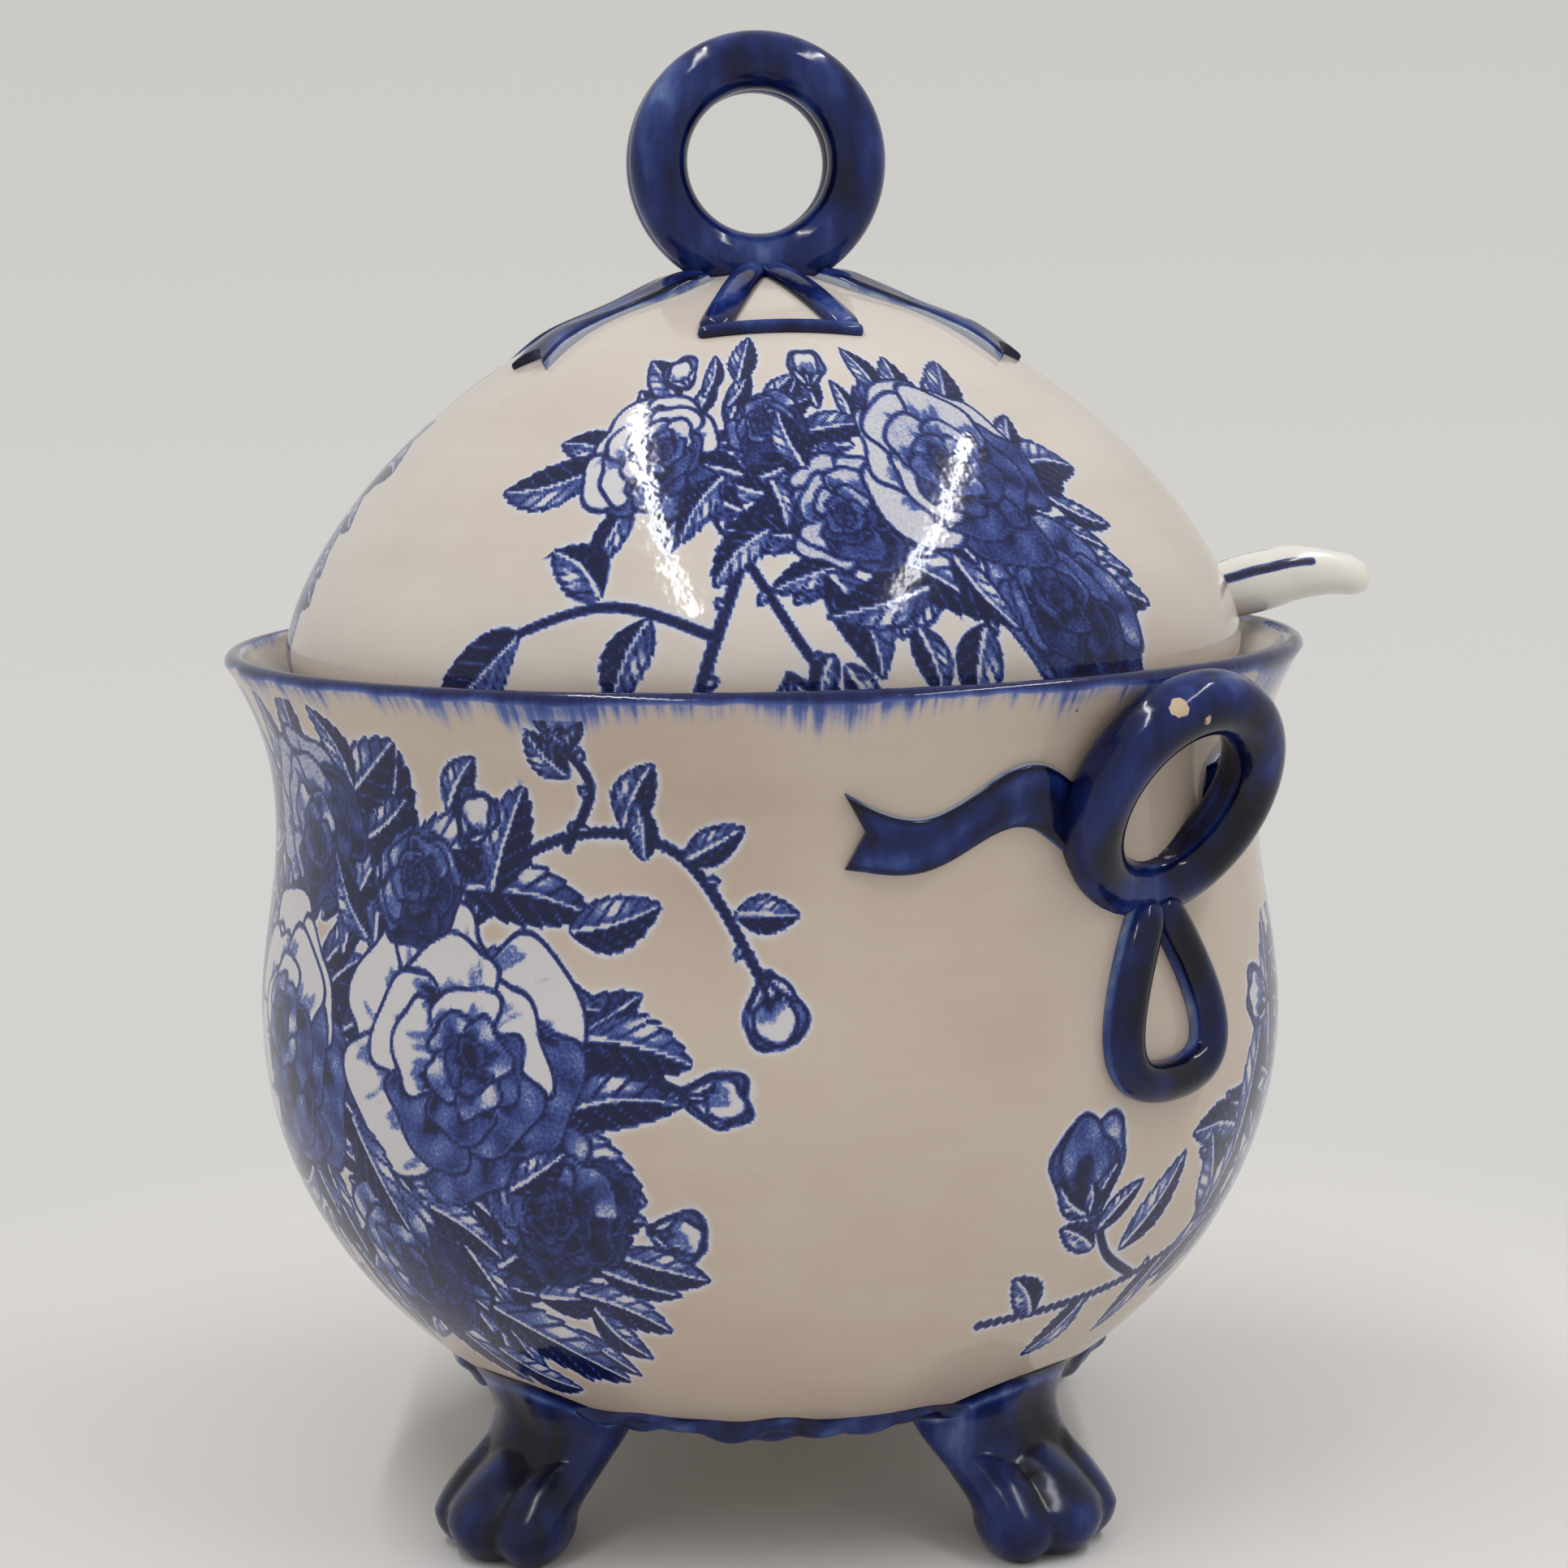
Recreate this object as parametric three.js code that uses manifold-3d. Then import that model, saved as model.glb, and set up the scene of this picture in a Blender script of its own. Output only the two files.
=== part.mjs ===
// Lidded soup tureen on four paw feet, with ring handles, a recessed domed lid and its ladle.
// Millimetres, +Z up. The origin is on the table under the bowl's axis; the handles lie along X.
import * as THREE from 'three';
import { mergeVertices } from 'three/addons/utils/BufferGeometryUtils.js';
import Module from 'manifold-3d';

const wasm = await Module();
wasm.setup();

// Bowl
const rimRadius = 118;
const rimHeight = 189;
const neckRadius = 108.3;
const neckHeight = 153;
const bellyRadius = 113;
const bellyHeight = 107;
const baseRadius = 70.5;
const baseHeight = 31;
const bowlWall = 4.5;
const bowlFloor = 6;
const rimFlare = 2.2;

// Ledge inside the bowl that carries the lid
const ledgeDepth = 13.5;
const ledgeBearing = 4.5;
const ledgeThickness = 4;
const ledgeFillet = 12;

// Lid
const lidInset = 13.3;
const lidWidestRise = 13;
const lidDomeRise = 80;
const lidTuck = 8.7;
const lidWall = 4.5;
const lidFullnessAcross = 1.7;
const lidFullnessUp = 1.5;
const lidSkirtTuck = 2.4;
const flangeDepth = 7;
const flangeWall = 4;
const flangeClearance = 1.2;
const notchWidth = 22;
const notchRise = 28;

// Rings of the finial and the handles: a bead bent round, or two side by side
const finialRing = { radius: 21.5, bead: 6.3, spread: 4.6, stretch: 1 };
const finialRingSink = 5;
const finialTurn = THREE.MathUtils.degToRad(-4);
const handleRing = { radius: 20.2, bead: 5.7, spread: 1, stretch: 1.06 };
const handleStandoff = 6.3;
const handleHeight = 163.4;
const handleLean = THREE.MathUtils.degToRad(26);
const handleTwist = THREE.MathUtils.degToRad(6);

// Bow loop under each handle ring
const bowWidth = 34;
const bowLength = 37;
const bowBand = 8.5;
const bowRelief = 5.8;

// Ribbon tail on each side of a handle ring
const tailReach = 69;
const tailWidth = 15.5;
const tailWaist = 11;
const tailNotch = 4;
const tailWave = 4.2;
const tailDrop = 1.5;
const tailRelief = 2;

// Bow loops and ribbons on the lid, round the finial
const lidBowWidth = 35;
const lidBowReach = 45;
const lidBowNeck = 9;
const lidBowBand = 7;
const lidBowBar = 3.2;
const lidBowRelief = 2.6;
const lidRibbonReach = 57;
const lidRibbonAngle = THREE.MathUtils.degToRad(24);
const lidRibbonWidth = 9;
const lidRibbonWaist = 7;
const lidRibbonNotch = 3;
const lidRibbonWave = 1.6;
const lidRibbonRelief = 1.8;

// Paw feet and the garland between them
const footProud = 7;
const flareRise = 7.5;
const pawLength = 27;
const pawWidth = 27;
const soleLength = 15;
const ankleLength = 21;
const ankleWidth = 32;
const flareWidth = 56;
const toeRadius = 5.2;
const toeRise = 14;
const garlandProud = 2.3;
const garlandThickness = 7.4;
const garlandKnot = 1.3;

// Ladle, resting on the bowl's floor and hooked over the rim
const ladleAngle = THREE.MathUtils.degToRad(56);
const ladleRadius = 35;
const ladleDepth = 30;
const ladleWall = 3.5;
const ladleFoot = 11;
const strapWidth = 13;
const strapThickness = 11;
const strapSwell = 1.22;
const hookReach = 25;
const hookRise = 3.4;

// Fits
const gap = 0.3;
const seat = 0.3;

// Fineness of the curved faces
const roundSides = 48;
const ringSides = 24;
const ladleSides = 24;

const cream = { color: 0xd9d3c8, roughness: 0.16, metalness: 0 };
const white = { color: 0xe0ddd6, roughness: 0.14, metalness: 0 };
const cobalt = { color: 0x24347c, roughness: 0.14, metalness: 0 };

// Closed mesh with shared vertices, no slivers and its faces pointing out.
function welded(geometry) {
  const bare = geometry.clone();
  bare.deleteAttribute('normal');
  bare.deleteAttribute('uv');
  const joined = mergeVertices(bare, 1e-4);
  const kept = [];
  for (let i = 0; i < joined.index.count; i += 3) {
    const [a, b, c] = [0, 1, 2].map((k) => joined.index.getX(i + k));
    if (a !== b && b !== c && c !== a) kept.push(a, b, c);
  }
  joined.setIndex(signedVolume(joined, kept) < 0 ? kept.reverse() : kept);
  return joined;
}

function signedVolume(geometry, index) {
  const [a, b, c] = [new THREE.Vector3(), new THREE.Vector3(), new THREE.Vector3()];
  let volume = 0;
  for (let i = 0; i < index.length; i += 3) {
    a.fromBufferAttribute(geometry.attributes.position, index[i]);
    b.fromBufferAttribute(geometry.attributes.position, index[i + 1]);
    c.fromBufferAttribute(geometry.attributes.position, index[i + 2]);
    volume += a.dot(b.cross(c)) / 6;
  }
  return volume;
}

function solidOf(geometry) {
  const closed = welded(geometry);
  return new wasm.Manifold(new wasm.Mesh({
    numProp: 3,
    vertProperties: new Float32Array(closed.attributes.position.array),
    triVerts: new Uint32Array(closed.index.array),
  }));
}

function geometryOf(solid) {
  const mesh = solid.getMesh();
  const geometry = new THREE.BufferGeometry();
  geometry.setAttribute('position', new THREE.BufferAttribute(new Float32Array(mesh.vertProperties), 3));
  geometry.setIndex(Array.from(mesh.triVerts));
  geometry.computeVertexNormals();
  return geometry;
}

// Takes the cutters away from a piece and keeps its largest body.
function trimmed(geometry, ...cutters) {
  let solid = solidOf(geometry);
  for (const cutter of cutters) solid = solid.subtract(solidOf(cutter));
  const bodies = solid.decompose().sort((one, other) => other.volume() - one.volume());
  return geometryOf(bodies[0]);
}

function joinedUp(...geometries) {
  return geometryOf(geometries.map(solidOf).reduce((whole, next) => whole.add(next)));
}

// Revolves a profile of (radius, height) points round the Z axis.
function turned(profile, sides = roundSides) {
  return new THREE.LatheGeometry(profile, sides).rotateX(Math.PI / 2);
}

function point(across, up) {
  return new THREE.Vector2(across, up);
}

// Moves a profile line that climbs the outside of a turned wall outwards along its normals.
function shifted(line, distance) {
  return line.map((spot, i) => {
    const along = line[Math.min(i + 1, line.length - 1)].clone().sub(line[Math.max(i - 1, 0)]).normalize();
    if (spot.x === 0) return point(0, spot.y + distance);
    return point(spot.x + along.y * distance, spot.y - along.x * distance);
  });
}

function sampled(count, at) {
  return Array.from({ length: count + 1 }, (_, i) => at(i / count));
}

function smooth(x, low, high) {
  return THREE.MathUtils.smoothstep(x, low, high);
}

const ledgeHeight = rimHeight - ledgeDepth;
const floorHeight = baseHeight + bowlFloor;
const lipRadius = bowlWall / 2;

// The lid fits inside the rim, and the ledge reaches in under the foot of its skirt.
const lidRadius = rimRadius - lidInset;
const lidSeatRadius = lidRadius - lidTuck;
const ledgeRadius = lidSeatRadius - ledgeBearing;

// Outer radius of the bowl: a bulging belly, a waist and a flared rim.
function bowlRadiusAt(height) {
  if (height < bellyHeight) {
    const drop = (bellyHeight - height) / (bellyHeight - baseHeight);
    return bellyRadius * Math.sqrt(1 - drop * drop * (1 - (baseRadius / bellyRadius) ** 2));
  }
  if (height < neckHeight) {
    const climb = (height - bellyHeight) / (neckHeight - bellyHeight);
    return neckRadius + (bellyRadius - neckRadius) * (1 + Math.cos(Math.PI * climb)) / 2;
  }
  const climb = (height - neckHeight) / (rimHeight - lipRadius - neckHeight);
  return neckRadius + (rimRadius - neckRadius) * climb ** rimFlare;
}

function bowlInnerRadiusAt(height) {
  const slope = (bowlRadiusAt(height + 1) - bowlRadiusAt(height - 1)) / 2;
  return bowlRadiusAt(height) - bowlWall * Math.hypot(1, slope);
}

function bowlOutside(steps) {
  const top = rimHeight - lipRadius;
  return sampled(steps, (t) => {
    const height = baseHeight + (top - baseHeight) * t ** 1.15;
    return point(bowlRadiusAt(height), height);
  });
}

function bowl() {
  const top = rimHeight - lipRadius;
  const lipCentre = bowlRadiusAt(top) - lipRadius;
  const lip = [0.25, 0.5, 0.75].map((turn) => point(
    lipCentre + lipRadius * Math.cos(Math.PI * turn), top + lipRadius * Math.sin(Math.PI * turn)));
  const ledgeFoot = ledgeHeight - ledgeFillet;
  const inside = sampled(9, (t) => {
    const height = ledgeFoot + (floorHeight - ledgeFoot) * t ** 0.8;
    return point(bowlInnerRadiusAt(height), height);
  });
  return turned([
    point(0, baseHeight), ...bowlOutside(13), ...lip,
    point(lipCentre - lipRadius, top), point(bowlInnerRadiusAt(ledgeHeight), ledgeHeight),
    point(ledgeRadius, ledgeHeight), point(ledgeRadius, ledgeHeight - ledgeThickness),
    ...inside, point(0, floorHeight),
  ]);
}

// The whole space that the bowl takes up, with the gap round it, for trimming what sits on it.
function bowlBlock() {
  const outside = shifted(bowlOutside(13), gap);
  const top = outside.at(-1).y + lipRadius;
  return turned([
    point(0, baseHeight - gap), point(outside[0].x, baseHeight - gap), ...outside,
    point(outside.at(-1).x - lipRadius, top), point(0, top),
  ]);
}

const lidSeatHeight = ledgeHeight + seat;
const lidWidestHeight = lidSeatHeight + lidWidestRise;
const lidTopHeight = lidWidestHeight + lidDomeRise;

function lidHeightAt(radius) {
  const across = Math.min(radius / lidRadius, 1) ** lidFullnessAcross;
  return lidWidestHeight + lidDomeRise * (1 - across) ** (1 / lidFullnessUp);
}

// Outside of the lid from its seat, round the tucked skirt, to the crown.
function lidOutside(steps) {
  const skirt = sampled(3, (t) => {
    const tuck = (1 - t) ** lidSkirtTuck;
    return point(lidRadius - (lidRadius - lidSeatRadius) * tuck, lidSeatHeight + lidWidestRise * t);
  });
  const dome = sampled(steps, (t) => {
    const climb = Math.PI / 2 * t;
    const radius = t === 1 ? 0 : lidRadius * Math.cos(climb) ** (2 / lidFullnessAcross);
    return point(radius, lidHeightAt(radius));
  });
  return [...skirt, ...dome.slice(1)];
}

const flangeRadius = ledgeRadius - flangeClearance;

function lidDome() {
  const outside = lidOutside(12);
  const inside = shifted(outside, -lidWall).slice(2);
  const flangeFoot = lidSeatHeight - flangeDepth;
  const shell = turned([
    ...[...outside].reverse(), point(flangeRadius, lidSeatHeight), point(flangeRadius, flangeFoot),
    point(flangeRadius - flangeWall, flangeFoot),
    point(flangeRadius - flangeWall, lidSeatHeight + lidWall / 2),
    ...inside,
  ]);
  return trimmed(shell, notchBlock());
}

// Arched block that opens the notch for the ladle in the lid's edge, on its +X side.
function notchBlock() {
  const half = notchWidth / 2;
  const low = lidSeatHeight - flangeDepth - gap;
  const arch = new THREE.Shape();
  arch.moveTo(-half, low);
  arch.lineTo(half, low);
  arch.absarc(0, lidSeatHeight + notchRise - half, half, 0, Math.PI, false);
  arch.closePath();
  const inner = ledgeRadius / 2;
  const cut = { depth: rimRadius - inner, bevelEnabled: false, curveSegments: 8 };
  const block = new THREE.ExtrudeGeometry(arch, cut);
  return block.rotateX(Math.PI / 2).rotateZ(Math.PI / 2).translate(inner, 0, 0);
}

// The space that the lid takes up, with the gap over it.
function lidBlock() {
  return turned([point(0, lidSeatHeight), ...shifted(lidOutside(12), gap)]);
}

// Ring of two beads side by side, its axis along Y. Growing it gives the space it needs round it.
function beadRing({ radius, bead, spread, stretch }, grow = 0) {
  const round = bead + grow;
  const waist = -Math.asin(spread / round);
  const front = sampled(6, (t) => {
    const turn = waist + (Math.PI - 2 * waist) * t;
    return point(radius + round * Math.cos(turn), spread + round * Math.sin(turn));
  });
  const back = front.map((spot) => point(spot.x, -spot.y)).reverse();
  return new THREE.LatheGeometry([...front, ...back.slice(1)], ringSides).scale(1, 1, stretch);
}

// Bends a unit rod: place(t, turn, reach) gives the spot at t along it, at a turn round it.
function shapedRod(sides, rings, place) {
  const rod = new THREE.CylinderGeometry(1, 1, 1, sides, rings);
  return bent(rod, (spot) => place(spot.y + 0.5, Math.atan2(spot.z, spot.x), Math.hypot(spot.x, spot.z)));
}

// Bends a unit slab: place(t, across, up) takes t from 0 to 1, across from -1 to 1 and up from 0 to 1.
function shapedSlab(steps, rows, place) {
  const slab = new THREE.BoxGeometry(1, 1, 1, steps, rows, 1);
  return bent(slab, (spot) => place(spot.x + 0.5, 2 * spot.y, spot.z + 0.5));
}

// Moves each corner of a shape to where place() puts it.
function bent(geometry, place) {
  const spots = geometry.attributes.position;
  const spot = new THREE.Vector3();
  for (let i = 0; i < spots.count; i++) {
    const placed = place(spot.fromBufferAttribute(spots, i));
    spots.setXYZ(i, placed.x, placed.y, placed.z);
  }
  return geometry;
}

// Half-round band that follows a flat line and stands up by its relief.
function band(line, width, relief, rings = 8) {
  return shapedRod(8, rings, (t, turn, reach) => {
    const spot = line.getPoint(t);
    const along = line.getTangent(t);
    const side = reach * Math.cos(turn) * width / 2;
    const up = relief * (0.2 + 0.8 * reach * Math.sin(turn));
    return new THREE.Vector3(spot.x - along.y * side, spot.y + along.x * side, up);
  });
}

// Wraps a flat piece, drawn upright, round the +X side of the bowl about a height.
function onBowl(geometry, height) {
  const round = bowlRadiusAt(height);
  return bent(geometry, (spot) => {
    const radius = bowlRadiusAt(height + spot.y) + spot.z;
    const turn = spot.x / round;
    return new THREE.Vector3(radius * Math.cos(turn), radius * Math.sin(turn), height + spot.y);
  });
}

// Drapes a flat piece, drawn in plan, over the crown of the lid.
function onLid(geometry) {
  return bent(geometry, (spot) => {
    const radius = Math.hypot(spot.x, spot.y);
    const slope = lidHeightAt(radius + 0.5) - lidHeightAt(Math.abs(radius - 0.5));
    const lean = spot.z / Math.hypot(1, slope);
    const out = 1 - slope * lean / Math.max(radius, 1);
    return new THREE.Vector3(spot.x * out, spot.y * out, lidHeightAt(radius) + lean);
  });
}

// Flat ribbon with a forked end, waving once along its length. It narrows to its waist on the way.
function ribbon({ start, end, width, waist, notch, wave, relief }) {
  return shapedSlab(12, 2, (t, across, up) => {
    const reach = start + (end - start) * t - notch * (1 - Math.abs(across)) * smooth(t, 0.6, 1);
    const sway = wave * Math.sin(2 * Math.PI * (1.42 * t - 0.35 * t * t - 0.1));
    const breadth = width + (waist - width) * Math.sin(Math.PI * t ** 1.4);
    const top = relief * (1 + 0.3 * Math.sin(3 * Math.PI * t));
    return new THREE.Vector3(reach, sway + across * breadth / 2 * (1 - 0.1 * up), up ? top : -relief);
  });
}

// Turns a flat piece in its own plane, mirrored across its length first when mirror is -1.
function turnedInPlan(geometry, angle, mirror) {
  return bent(geometry, (spot) => {
    const turned = new THREE.Vector2(spot.x, mirror * spot.y).rotateAround(new THREE.Vector2(), angle);
    return new THREE.Vector3(turned.x, turned.y, spot.z);
  });
}

const handleReach = bowlRadiusAt(handleHeight) + handleStandoff;

// Ring of the handle on the +X side; it leans out at the top and is set with a slight twist.
function handleHoop(grow = 0) {
  return beadRing(handleRing, grow).rotateZ(-Math.PI / 2 - handleTwist).rotateY(handleLean)
    .translate(handleReach, 0, handleHeight);
}

// Drop-shaped loop that hangs from a handle ring against the bowl.
function handleBow() {
  const drop = (handleRing.radius + handleRing.bead) * handleRing.stretch * Math.cos(handleLean);
  const top = bowBand / 2;
  const low = top - bowLength + bowBand / 2;
  const spread = (bowWidth - bowBand) / 2;
  const arms = [-1, 1].map((side) => band(new THREE.CubicBezierCurve(
    point(side, top), point(side * spread * 0.8, top - bowLength * 0.3),
    point(side * spread * 1.75, low), point(-side * bowBand * 0.07, low)), bowBand, bowRelief, 10));
  const placed = arms.map((arm) => onBowl(arm, handleHeight - drop - bowBand / 2));
  return trimmed(joinedUp(...placed), bowlBlock(), handleHoop(gap));
}

// Ribbon tail beside a handle ring: side 1 runs towards +Y, side -1 towards -Y.
function handleTail(side) {
  const flat = ribbon({
    start: handleRing.radius, end: tailReach, width: tailWidth, waist: tailWaist, notch: tailNotch,
    wave: tailWave, relief: tailRelief,
  });
  const placed = onBowl(turnedInPlan(flat, side > 0 ? 0 : Math.PI, side), handleHeight - tailDrop);
  return trimmed(placed, bowlBlock(), handleHoop(gap));
}

const finialHeight = lidTopHeight + finialRing.radius + finialRing.bead - finialRingSink;

function finialHoop(grow = 0) {
  return beadRing(finialRing, grow).translate(0, 0, finialHeight);
}

// Three-sided loop that lies on the lid in front of the finial ring, or behind it.
function lidBow(side) {
  const reach = side * (lidBowReach - lidBowBar / 2);
  const half = (lidBowWidth - lidBowBand) / 2;
  const arms = [-1, 1].map((end) => band(new THREE.QuadraticBezierCurve(
    point(end * (lidBowNeck - lidBowBand) / 2, side * finialRing.bead),
    point(end * half * 0.5, reach * 0.62), point(end * half, reach)), lidBowBand, lidBowRelief, 6));
  const overrun = half + lidBowBand * 0.45;
  const bar = band(new THREE.QuadraticBezierCurve(
    point(-overrun, reach), point(0, reach * 1.05), point(overrun, reach)),
  lidBowBar, lidBowRelief * 0.8, 6);
  return trimmed(joinedUp(...[...arms, bar].map(onLid)), lidBlock(), finialHoop(gap));
}

// Ribbon beside the finial ring: side -1 is in front of it, end 1 is on its right.
function lidRibbon(side, end) {
  const flat = ribbon({
    start: finialRing.radius * 0.7, end: lidRibbonReach, width: lidRibbonWidth, waist: lidRibbonWaist,
    notch: lidRibbonNotch, wave: lidRibbonWave, relief: lidRibbonRelief,
  });
  const angle = end > 0 ? side * lidRibbonAngle : Math.PI - side * lidRibbonAngle;
  return trimmed(onLid(turnedInPlan(flat, angle, side * end)), lidBlock(), finialHoop(gap));
}

const footRadius = baseRadius + footProud;

// Sections of a foot from its sole to its flare. Its height goes by the base that it carries, and each
// section is set back from the paw by a share of the paw's length.
const footSections = [
  { rise: 0, back: 0.09, depth: soleLength, width: soleLength },
  { rise: baseHeight * 0.05, back: 0.045, depth: pawLength * 0.76, width: pawWidth * 0.76 },
  { rise: baseHeight * 0.16, back: 0, depth: pawLength * 0.93, width: pawWidth * 0.94 },
  { rise: baseHeight * 0.32, back: 0, depth: pawLength, width: pawWidth },
  { rise: baseHeight * 0.48, back: 0.13, depth: pawLength * 0.96, width: pawWidth },
  { rise: baseHeight * 0.645, back: 0.3, depth: ankleLength, width: ankleWidth },
  { rise: baseHeight * 0.84, back: 0.425, depth: ankleLength * 0.95, width: ankleWidth * 1.3 },
  { rise: baseHeight * 1.03, back: 0.41, depth: ankleLength, width: flareWidth * 0.93 },
  { rise: baseHeight + flareRise, back: 0.26, depth: ankleLength * 0.95, width: flareWidth },
];

// Paw foot on the +X side: a shaped leg that flares into the bowl, and three toes.
function foot(grow = 0) {
  const rings = footSections.length - 1;
  const leg = shapedRod(16, rings, (t, turn, reach) => {
    const section = footSections[Math.round(t * rings)];
    const centre = footRadius - pawLength * section.back;
    const radius = centre + reach * Math.cos(turn) * (section.depth / 2 + grow);
    const swing = reach * Math.sin(turn) * (section.width / 2 + grow) / footRadius;
    const rise = section.rise + (t === 0 ? -grow : 0) + (t === 1 ? grow : 0);
    return new THREE.Vector3(radius * Math.cos(swing), radius * Math.sin(swing), rise);
  });
  const toes = [-1, 0, 1].map((side) => {
    const reach = footRadius + pawLength * (0.28 - 0.075 * Math.abs(side));
    return new THREE.SphereGeometry(1, 8, 6).rotateX(Math.PI / 2)
      .scale(toeRadius * 1.6 + grow, toeRadius + grow, toeRise / 2 + grow).rotateZ(side * 0.35)
      .translate(reach, side * pawWidth * 0.31, toeRise * 0.6);
  });
  return joinedUp(leg, ...toes);
}

const garlandRadius = baseRadius + garlandProud;

// Ribbon garland that closes the ring between two feet, with a knot at its middle.
function garland() {
  const span = ankleWidth / 2 / footRadius;
  const rod = shapedRod(8, 14, (t, turn, reach) => {
    const swing = span + (Math.PI / 2 - 2 * span) * t;
    const knot = garlandKnot * Math.exp(-(((t - 0.5) / 0.07) ** 2));
    const swell = 0.84 + 0.16 * Math.sin(Math.PI * t) + 0.05 * Math.cos(10 * Math.PI * t);
    const thick = reach * (garlandThickness / 2 * swell + knot);
    const radius = garlandRadius + thick * 0.8 * Math.cos(turn);
    const height = baseHeight + garlandThickness * 0.3 + thick * Math.sin(turn);
    return new THREE.Vector3(radius * Math.cos(swing), radius * Math.sin(swing), height);
  });
  return trimmed(rod, bowlBlock(), foot(gap), foot(gap).rotateZ(Math.PI / 2));
}

const ladleLow = floorHeight + seat;

// Outside of the ladle's bowl, from its foot up to its rim.
function ladleOutside(grow = 0) {
  return sampled(7, (t) => {
    const climb = Math.PI / 2 * t;
    const radius = ladleFoot + (ladleRadius - ladleFoot) * Math.sin(climb) + grow;
    return point(radius, ladleLow + ladleDepth * (1 - Math.cos(climb)));
  });
}

function ladleBowl() {
  const outside = ladleOutside();
  const inside = outside.map((spot, i) => {
    const side = i / (outside.length - 1);
    return point(spot.x - ladleWall * (0.4 + 0.6 * side), spot.y + ladleWall * (1 - side));
  });
  const lip = point(ladleRadius - ladleWall / 2, ladleLow + ladleDepth + ladleWall / 3);
  return turned([
    point(0, ladleLow), ...outside, lip, ...inside.reverse(), point(0, ladleLow + ladleWall),
  ], ladleSides);
}

// The space that the ladle's bowl takes up, with the gap round it.
function ladleBlock() {
  const outside = ladleOutside(gap);
  const top = outside.at(-1).y + ladleWall;
  return turned([point(0, ladleLow), ...outside, point(outside.at(-1).x, top), point(0, top)], ladleSides);
}

// Strap handle from the ladle's bowl up past the ledge, through the notch and over the rim.
function ladleHandle() {
  const rimTop = rimRadius - lipRadius;
  const hookHeight = rimHeight + seat + strapThickness / 2;
  const past = ledgeRadius - strapThickness;
  const line = new THREE.SplineCurve([
    point(ladleRadius - ladleWall * 0.3, ladleLow + ladleDepth - ladleWall * 0.85),
    point((ladleRadius + past) / 2 + strapThickness * 0.1,
      (ladleLow + ladleDepth + ledgeHeight) / 2 - strapThickness * 0.27),
    point(past + strapThickness * 0.1, ledgeHeight - strapThickness * 0.64),
    point(past + strapThickness * 0.55, ledgeHeight + strapThickness * 0.55),
    point(past + strapThickness * 1.36, hookHeight - strapThickness * 0.23),
    point(rimTop - strapThickness * 0.64, hookHeight + hookRise * 0.24),
    point(rimTop, hookHeight + hookRise * 0.41),
    point(rimTop + hookReach * 0.3, hookHeight + hookRise),
    point(rimTop + hookReach * 0.68, hookHeight + hookRise),
    point(rimTop + hookReach, hookHeight + hookRise * 0.6),
  ]);
  const strap = shapedRod(12, 26, (step, turn, reach) => {
    const t = 1 - (1 - step) ** 1.5;
    const spot = line.getPointAt(t);
    const along = line.getTangentAt(t);
    const tip = Math.sqrt(Math.max(1 - (Math.max(t - 0.965, 0) / 0.036) ** 2, 0.02));
    const hump = (strapSwell - 1) * (smooth(t, 0.72, 0.84) - smooth(t, 0.87, 1));
    const swell = 0.72 + 0.28 * smooth(t, 0.3, 0.7) + hump;
    const thick = reach * Math.sin(turn) * strapThickness / 2 * swell * tip;
    const wide = reach * Math.cos(turn) * strapWidth / 2 * tip;
    return new THREE.Vector3(spot.x - along.y * thick, wide, spot.y + along.x * thick);
  });
  return trimmed(strap, ladleBlock());
}

function piece(name, geometry, finish) {
  const mesh = new THREE.Mesh(geometry, new THREE.MeshStandardMaterial(finish));
  mesh.name = name;
  return mesh;
}

// Group of pieces turned about the object's axis.
function facing(turn, ...pieces) {
  const group = new THREE.Group();
  group.rotation.z = turn;
  group.add(...pieces);
  return group;
}

const tureen = new THREE.Group();
tureen.add(piece('bowl', welded(bowl()), cream));

const handleSides = [{ name: 'right', turn: 0, front: -1 }, { name: 'left', turn: Math.PI, front: 1 }];
for (const { name, turn, front } of handleSides) {
  tureen.add(facing(turn,
    piece(`handle_ring_${name}`, trimmed(handleHoop(), bowlBlock()), cobalt),
    piece(`handle_bow_${name}`, handleBow(), cobalt),
    piece(`handle_ribbon_${name}_front`, handleTail(front), cobalt),
    piece(`handle_ribbon_${name}_back`, handleTail(-front), cobalt)));
}

const footSides = ['right', 'back', 'left', 'front'];
footSides.forEach((name, i) => {
  tureen.add(facing(i * Math.PI / 2,
    piece(`foot_${name}`, trimmed(foot(), bowlBlock()), cobalt),
    piece(`garland_${name}_${footSides[(i + 1) % 4]}`, garland(), cobalt)));
});

const finial = facing(finialTurn,
  piece('finial_ring', trimmed(finialHoop(), lidBlock()), cobalt),
  piece('finial_bow_front', lidBow(-1), cobalt),
  piece('finial_bow_back', lidBow(1), cobalt));
for (const [front, across] of [['front', -1], ['back', 1]]) {
  finial.add(piece(`finial_ribbon_${front}_right`, lidRibbon(across, 1), cobalt));
  finial.add(piece(`finial_ribbon_${front}_left`, lidRibbon(across, -1), cobalt));
}
const lid = facing(ladleAngle, piece('lid_dome', lidDome(), cream), finial);

const ladle = facing(ladleAngle,
  piece('ladle_bowl', welded(ladleBowl()), white),
  piece('ladle_handle', ladleHandle(), white));

const group = new THREE.Group();
group.add(tureen, lid, ladle);

export default group;
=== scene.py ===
"""Looks of a lidded soup tureen with its ladle: printed roses under a clear glaze, and pooled cobalt on the trim."""

import logging
import math
from collections.abc import Callable
from dataclasses import dataclass, field
from enum import Enum

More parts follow.
